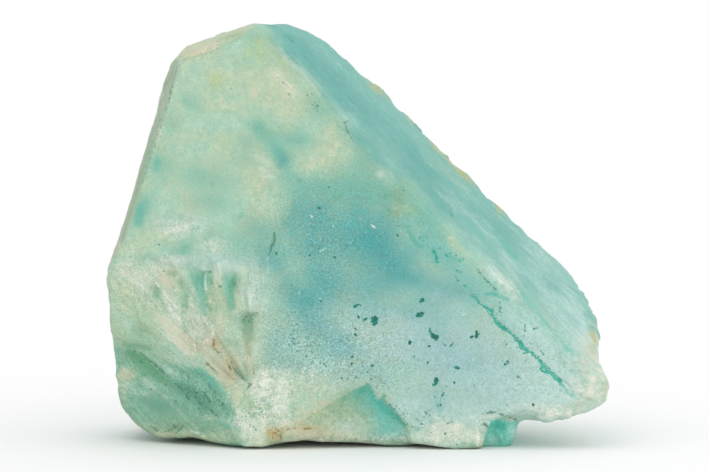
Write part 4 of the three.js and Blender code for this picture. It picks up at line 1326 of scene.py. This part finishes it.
# The fine light and shade, in this order: its way, its noise, its mask, how strong it is in the full mask,
# and how strong everywhere.
VARIATIONS = [
    ("tinge", "twins", "hidden", 0.2, 0.0),
    ("tinge", "streak", "slope", 0.07, 0.0),
    ("shade", "scratch", "brushed", 0.13, 0.0),
    ("tinge", "fibre", "scoop", 0.2, 0.0),
    ("shade", "lines", "flake_face", 0.26, 0.04),
    ("calm tinge", "middle", "gritty", 0.04, 0.19),
    ("calm tinge", "small", "gritty", 0.08, 0.06),
    ("shade", "small", "gritty", 0.13, 0.0),
    ("shade", "fine", "gritty", 0.5, 0.14),
]
CALMING = 0.6  # how much weaker a calm tinge is in frost, in blue and in the hollow

# Specks and flecks: their noise, how many more their mask brings, where the noise begins to show and shows
# in full, how strongly they cover, and their colour.
SPECKS = ("speck", 0.62, (0.68, 0.82), 0.7, PIGMENTS["deep"])
FLECKS = ("fleck", 0.32, (0.72, 0.9), 0.45, FLECK)
SPECKLED_WHERE = (-0.6, 0.4)  # the middle noise where specks begin to crowd and crowd in full

# How each kind of mark looks: its colour, how strongly it covers, and in pixels how much wider than its
# lines it is, how ragged its edge is and how soft.
LOOKS = {
    "pale": (seen_as("cfe0d0"), 0.45, 0.0, 0.9, 2.8),
    "cream": (seen_as("d5d3ba"), 0.5, 0.0, 0.9, 2.8),
    "green": (seen_as("63a67f"), 0.5, 0.0, 0.9, 2.2),
    # the shade marks are painted shade
    "shade": (seen_as("86a88f"), 0.5, 0.0, 0.8, 1.8),
    "teal": (seen_as("66b7a6"), 0.5, 0.0, 0.9, 2.2),
    "bright": (seen_as("4aae9b"), 0.5, 0.0, 1.0, 1.6),
    "brown": (seen_as("8a7645"), 0.8, 0.0, 0.6, 0.6),
    "dark": (seen_as("457f68"), 0.7, 0.0, 0.8, 0.6),
    "crack": (seen_as("56b9a6"), 0.95, -0.2, 1.2, 0.5),
    "faded_crack": (seen_as("82c3b6"), 0.85, 0.0, 1.0, 0.8),
    "glint": (seen_as("e2ede0"), 0.7, -0.6, 0.5, 0.5),
    "speck": (seen_as("338579"), 0.85, 0.0, 0.5, 0.5),
    "pit": (seen_as("2f9384"), 1.0, 0.1, 0.8, 0.4),
}
CORES = {"crack": seen_as("41a592"), "pit": seen_as("0b7468")}  # the darker colour in some of them
CORE_WHERE = (-0.3, 0.6)  # the jagged noise where it begins and is full

SHINE = 0.4  # how strongly the surface reflects
ROUGHNESS = 0.52
ROUGHNESS_CHANGE = 0.06  # how much the middle noise changes it
PIT_GLOSS = 0.2  # how much smoother the pits are
PIT_RAGGED = 0.8
BUMP = {"strength": 0.35, "height": 0.08 * MM, "fine": 0.4}  # and how much of it is the fine noise


def plain_grains(graph, place):
    """The noises that are the same in every direction, by name."""
    middle = graph.noise(place, size=1.8, detail=4, roughness=0.65)
    return {
        "fine": graph.noise(place, size=0.3, detail=1.5, roughness=0.7),
        "small": graph.noise(place, size=0.9, detail=2, roughness=0.6),
        "middle": middle,
        "broad": graph.noise(place, size=7, detail=4, roughness=0.6),
        "speck": graph.noise(place, size=0.33, detail=1),
        "fleck": graph.noise(place, size=0.36, detail=1),
        "jagged": graph.plus(graph.cells(place, size=0.38), graph.times(middle, JAGGED_MIDDLE)),
    }


def drawn_out_grains(graph, place):
    """The noises that run along the grain, the slope, the cleavage or the hollow's fibres, by name."""
    fan_place = graph.kept("fan", result="Vector")
    lines = graph.stretched(place, GRAIN, GRAIN_ACROSS, length=2, width=0.4)
    streak = graph.stretched(place, RIDGE, SLOPE_ACROSS, length=11, width=1.9)
    scratch = graph.stretched(place, RIDGE, SLOPE_ACROSS, length=5, width=0.45)
    twins = graph.stretched(place, BACK_ALONG, BACK_ACROSS, length=9, width=0.8)
    fibre = graph.scaled(fan_place, FIBRE_SCALE)
    column = graph.scaled(fan_place, COLUMN_SCALE)
    return {
        "lines": graph.noise(lines, detail=2, roughness=0.7),
        "streak": graph.noise(streak, detail=3, roughness=0.5),
        "scratch": graph.noise(scratch, detail=2, roughness=0.6),
        "twins": graph.noise(twins, detail=3, roughness=0.6),
        "fibre": graph.noise(fibre, detail=3, roughness=0.6),
        "column": graph.noise(column, detail=3, roughness=0.6),
    }


def stone_grain(graph, grains):
    """The grain that breaks up the edges of the colours."""
    fine, small, middle = [graph.times(grains[name], share) for name, share in GRAIN_MIX.items()]
    grain = graph.plus(fine, graph.plus(small, middle))
    for face, own in OWN_GRAIN.items():
        grain = graph.blend(graph.times(graph.kept(face), OWN_GRAIN_SHARE), grain, grains[own])
    return grain


def all_grains(graph):
    place = graph.scaled(graph.add("TexCoord", result="Object"), (1 / MM,) * 3)
    bent = graph.bent(place, size=6, amount=2.6)
    grains = {**plain_grains(graph, place), **drawn_out_grains(graph, bent)}
    grains["veins"] = graph.math("ABSOLUTE", graph.noise(bent, size=2.6, detail=3, roughness=0.6))
    grains["pale_streak"] = graph.plus(grains["streak"], grains["middle"])
    grains["stone"] = stone_grain(graph, grains)
    return grains


def ground_colour(graph, grains):
    colour = graph.mix(graph.soft(grains["broad"], *MEADOW_WHERE), MINT, MEADOW)
    slope = graph.grained(graph.kept("slope"), grains["streak"], SLOPE_GRAININESS)
    return graph.mix(slope, colour, SLOPE_TINT)


def with_pigments(graph, grains, colour, names, patch=""):
    """The colour with these pigments over it, each in the mask of its name."""
    for name in names:
        mask = graph.grained(graph.kept(patch + name), grains["stone"], GRAININESS[name])
        colour = graph.mix(mask, colour, PIGMENTS[name])
    return colour


def with_patches(graph, grains, colour):
    for patch, (_, _, rim, ground, over) in PATCHES.items():
        inner = with_pigments(graph, grains, PIGMENTS[ground], over, patch + " ")
        colour = graph.mix(graph.edged(patch, grains["jagged"], PATCH_RAGGED, rim), colour, inner)
    return colour


def with_veils(graph, grains, colour, veils):
    for noise_name, begins, full, mask, cover, tint in veils:
        thickness = graph.soft(grains[noise_name], begins, full)
        colour = graph.mix(graph.times(thickness, graph.times(graph.kept(mask), cover)), colour, tint)
    return colour


def with_variations(graph, grains, colour):
    calm = graph.larger(graph.larger(graph.kept("frost"), graph.kept("blue")), graph.kept("scoop"))
    lively = graph.minus(1.0, graph.times(calm, CALMING))
    for way, noise_name, mask, masked, everywhere in VARIATIONS:
        amount = graph.plus(graph.times(graph.kept(mask), masked), everywhere)
        if way == "calm tinge":
            amount = graph.times(amount, lively)
        change = graph.shade if way == "shade" else graph.tinge
        colour = change(colour, grains[noise_name], amount)
    return colour


def with_specks(graph, grains, colour):
    """The colour with fine dark specks over it, and then fine light flecks."""
    speckled = graph.times(graph.kept("speckled"), graph.soft(grains["middle"], *SPECKLED_WHERE))
    for mask, (name, more, fade, cover, tint) in ((speckled, SPECKS), (graph.kept("gritty"), FLECKS)):
        specks = graph.soft(graph.plus(grains[name], graph.times(mask, more)), *fade)
        colour = graph.mix(graph.times(specks, cover), colour, tint)
    return colour


def with_marks(graph, grains, colour):
    for kind, (tint, cover, wider, ragged, rim) in LOOKS.items():
        if kind in CORES:
            tint = graph.mix(graph.soft(grains["jagged"], *CORE_WHERE), tint, CORES[kind])
        drawn = graph.edged(f"{kind} marks", grains["jagged"], ragged, rim, wider)
        colour = graph.mix(graph.times(drawn, cover), colour, tint)
    return colour


def surface_of(graph, grains, shader):
    """A matte surface with a fine bump, smoother in the pits."""
    shader.inputs["Specular IOR Level"].default_value = SHINE
    roughness = graph.plus(graph.times(grains["middle"], ROUGHNESS_CHANGE), ROUGHNESS)
    gloss = graph.times(graph.edged("pit marks", grains["jagged"], PIT_RAGGED), PIT_GLOSS)
    graph.put(graph.minus(roughness, gloss), shader.inputs["Roughness"])
    height = graph.plus(graph.times(grains["fine"], BUMP["fine"]), grains["middle"])
    bump = {"Strength": BUMP["strength"], "Distance": BUMP["height"], "Height": height}
    graph.put(graph.add("Bump", bump), shader.inputs["Normal"])


def amazonite_material():
    material = bpy.data.materials.new("amazonite")
    graph = Graph(material)
    shader = graph.nodes["Principled BSDF"]
    grains = all_grains(graph)
    colour = ground_colour(graph, grains)
    colour = with_pigments(graph, grains, colour, OVALS)
    colour = with_veils(graph, grains, colour, COLUMN_VEILS)
    colour = with_patches(graph, grains, colour)
    colour = with_veils(graph, grains, colour, CRYSTAL_VEILS)
    colour = with_variations(graph, grains, colour)
    colour = with_specks(graph, grains, colour)
    colour = with_marks(graph, grains, colour)
    graph.put(colour, shader.inputs["Base Color"])
    surface_of(graph, grains, shader)
    return material


# ---------------------------------------------------------------- studio

FLOOR_REACH = 60.0
PAPER = (0.92, 0.92, 0.92, 1)
PAPER_ROUGHNESS = 0.95
PAPER_SHINE = 0.1
LIGHT_FROM = unit([0.5, -0.45, 0.75])
LIGHT_LEVEL = 0.9
LIGHT_LEAN = 0.4  # how much brighter the sky is towards the light, and darker away from it


def add_camera():
    camera = bpy.data.cameras.new("camera")
    camera.lens = SENSOR * EYE["distance"] / (PICTURE[0] * PIXEL)
    camera.sensor_width = SENSOR
    camera.sensor_fit = "HORIZONTAL"
    camera.clip_start = 0.01
    seat = bpy.data.objects.new("camera", camera)
    seat.location = Vector(to_row(EYE["x"], -EYE["distance"], EYE["h"])) * MM
    seat.rotation_euler = (math.pi / 2 - LEAN, 0, 0)
    bpy.context.scene.collection.objects.link(seat)
    bpy.context.scene.camera = seat


def paper_material():
    paper = bpy.data.materials.new("paper")
    shader = Graph(paper).nodes["Principled BSDF"]
    shader.inputs["Base Color"].default_value = PAPER
    shader.inputs["Roughness"].default_value = PAPER_ROUGHNESS
    shader.inputs["Specular IOR Level"].default_value = PAPER_SHINE
    return paper


def add_floor():
    build = bmesh.new()
    bmesh.ops.create_grid(build, x_segments=1, y_segments=1, size=FLOOR_REACH)
    mesh = bpy.data.meshes.new("floor")
    build.to_mesh(mesh)
    build.free()
    mesh.materials.append(paper_material())
    floor = bpy.data.objects.new("floor", mesh)
    bpy.context.scene.collection.objects.link(floor)


def add_world():
    """A white tent, brighter to the upper right and front."""
    world = bpy.data.worlds.new("studio")
    graph = Graph(world)
    share = graph.along(graph.add("TexCoord", result="Generated"), LIGHT_FROM)
    background = graph.nodes["Background"]
    graph.put((1, 1, 1, 1), background.inputs["Color"])
    graph.put(graph.plus(graph.times(share, LIGHT_LEAN), LIGHT_LEVEL), background.inputs["Strength"])
    bpy.context.scene.world = world


# ---------------------------------------------------------------- main

add_camera()
add_floor()
add_world()
bpy.context.scene.view_settings.view_transform = "Standard"

stone = bpy.data.objects.new("stone", merged_solid(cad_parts["amazonite"]))
bpy.context.scene.collection.objects.link(stone)
remesh(stone, VOXEL)
wear(stone.data)
refine(stone.data, in_front(stone.data))
refine(stone.data, at_crisp_marks(stone.data))
shape_stone(stone.data)
paint(stone.data)
stone.data.transform(Matrix.Scale(MM, 4))
stone.data.shade_smooth()
stone.data.materials.clear()
stone.data.materials.append(amazonite_material())

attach(stone, "root")
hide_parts("amazonite")
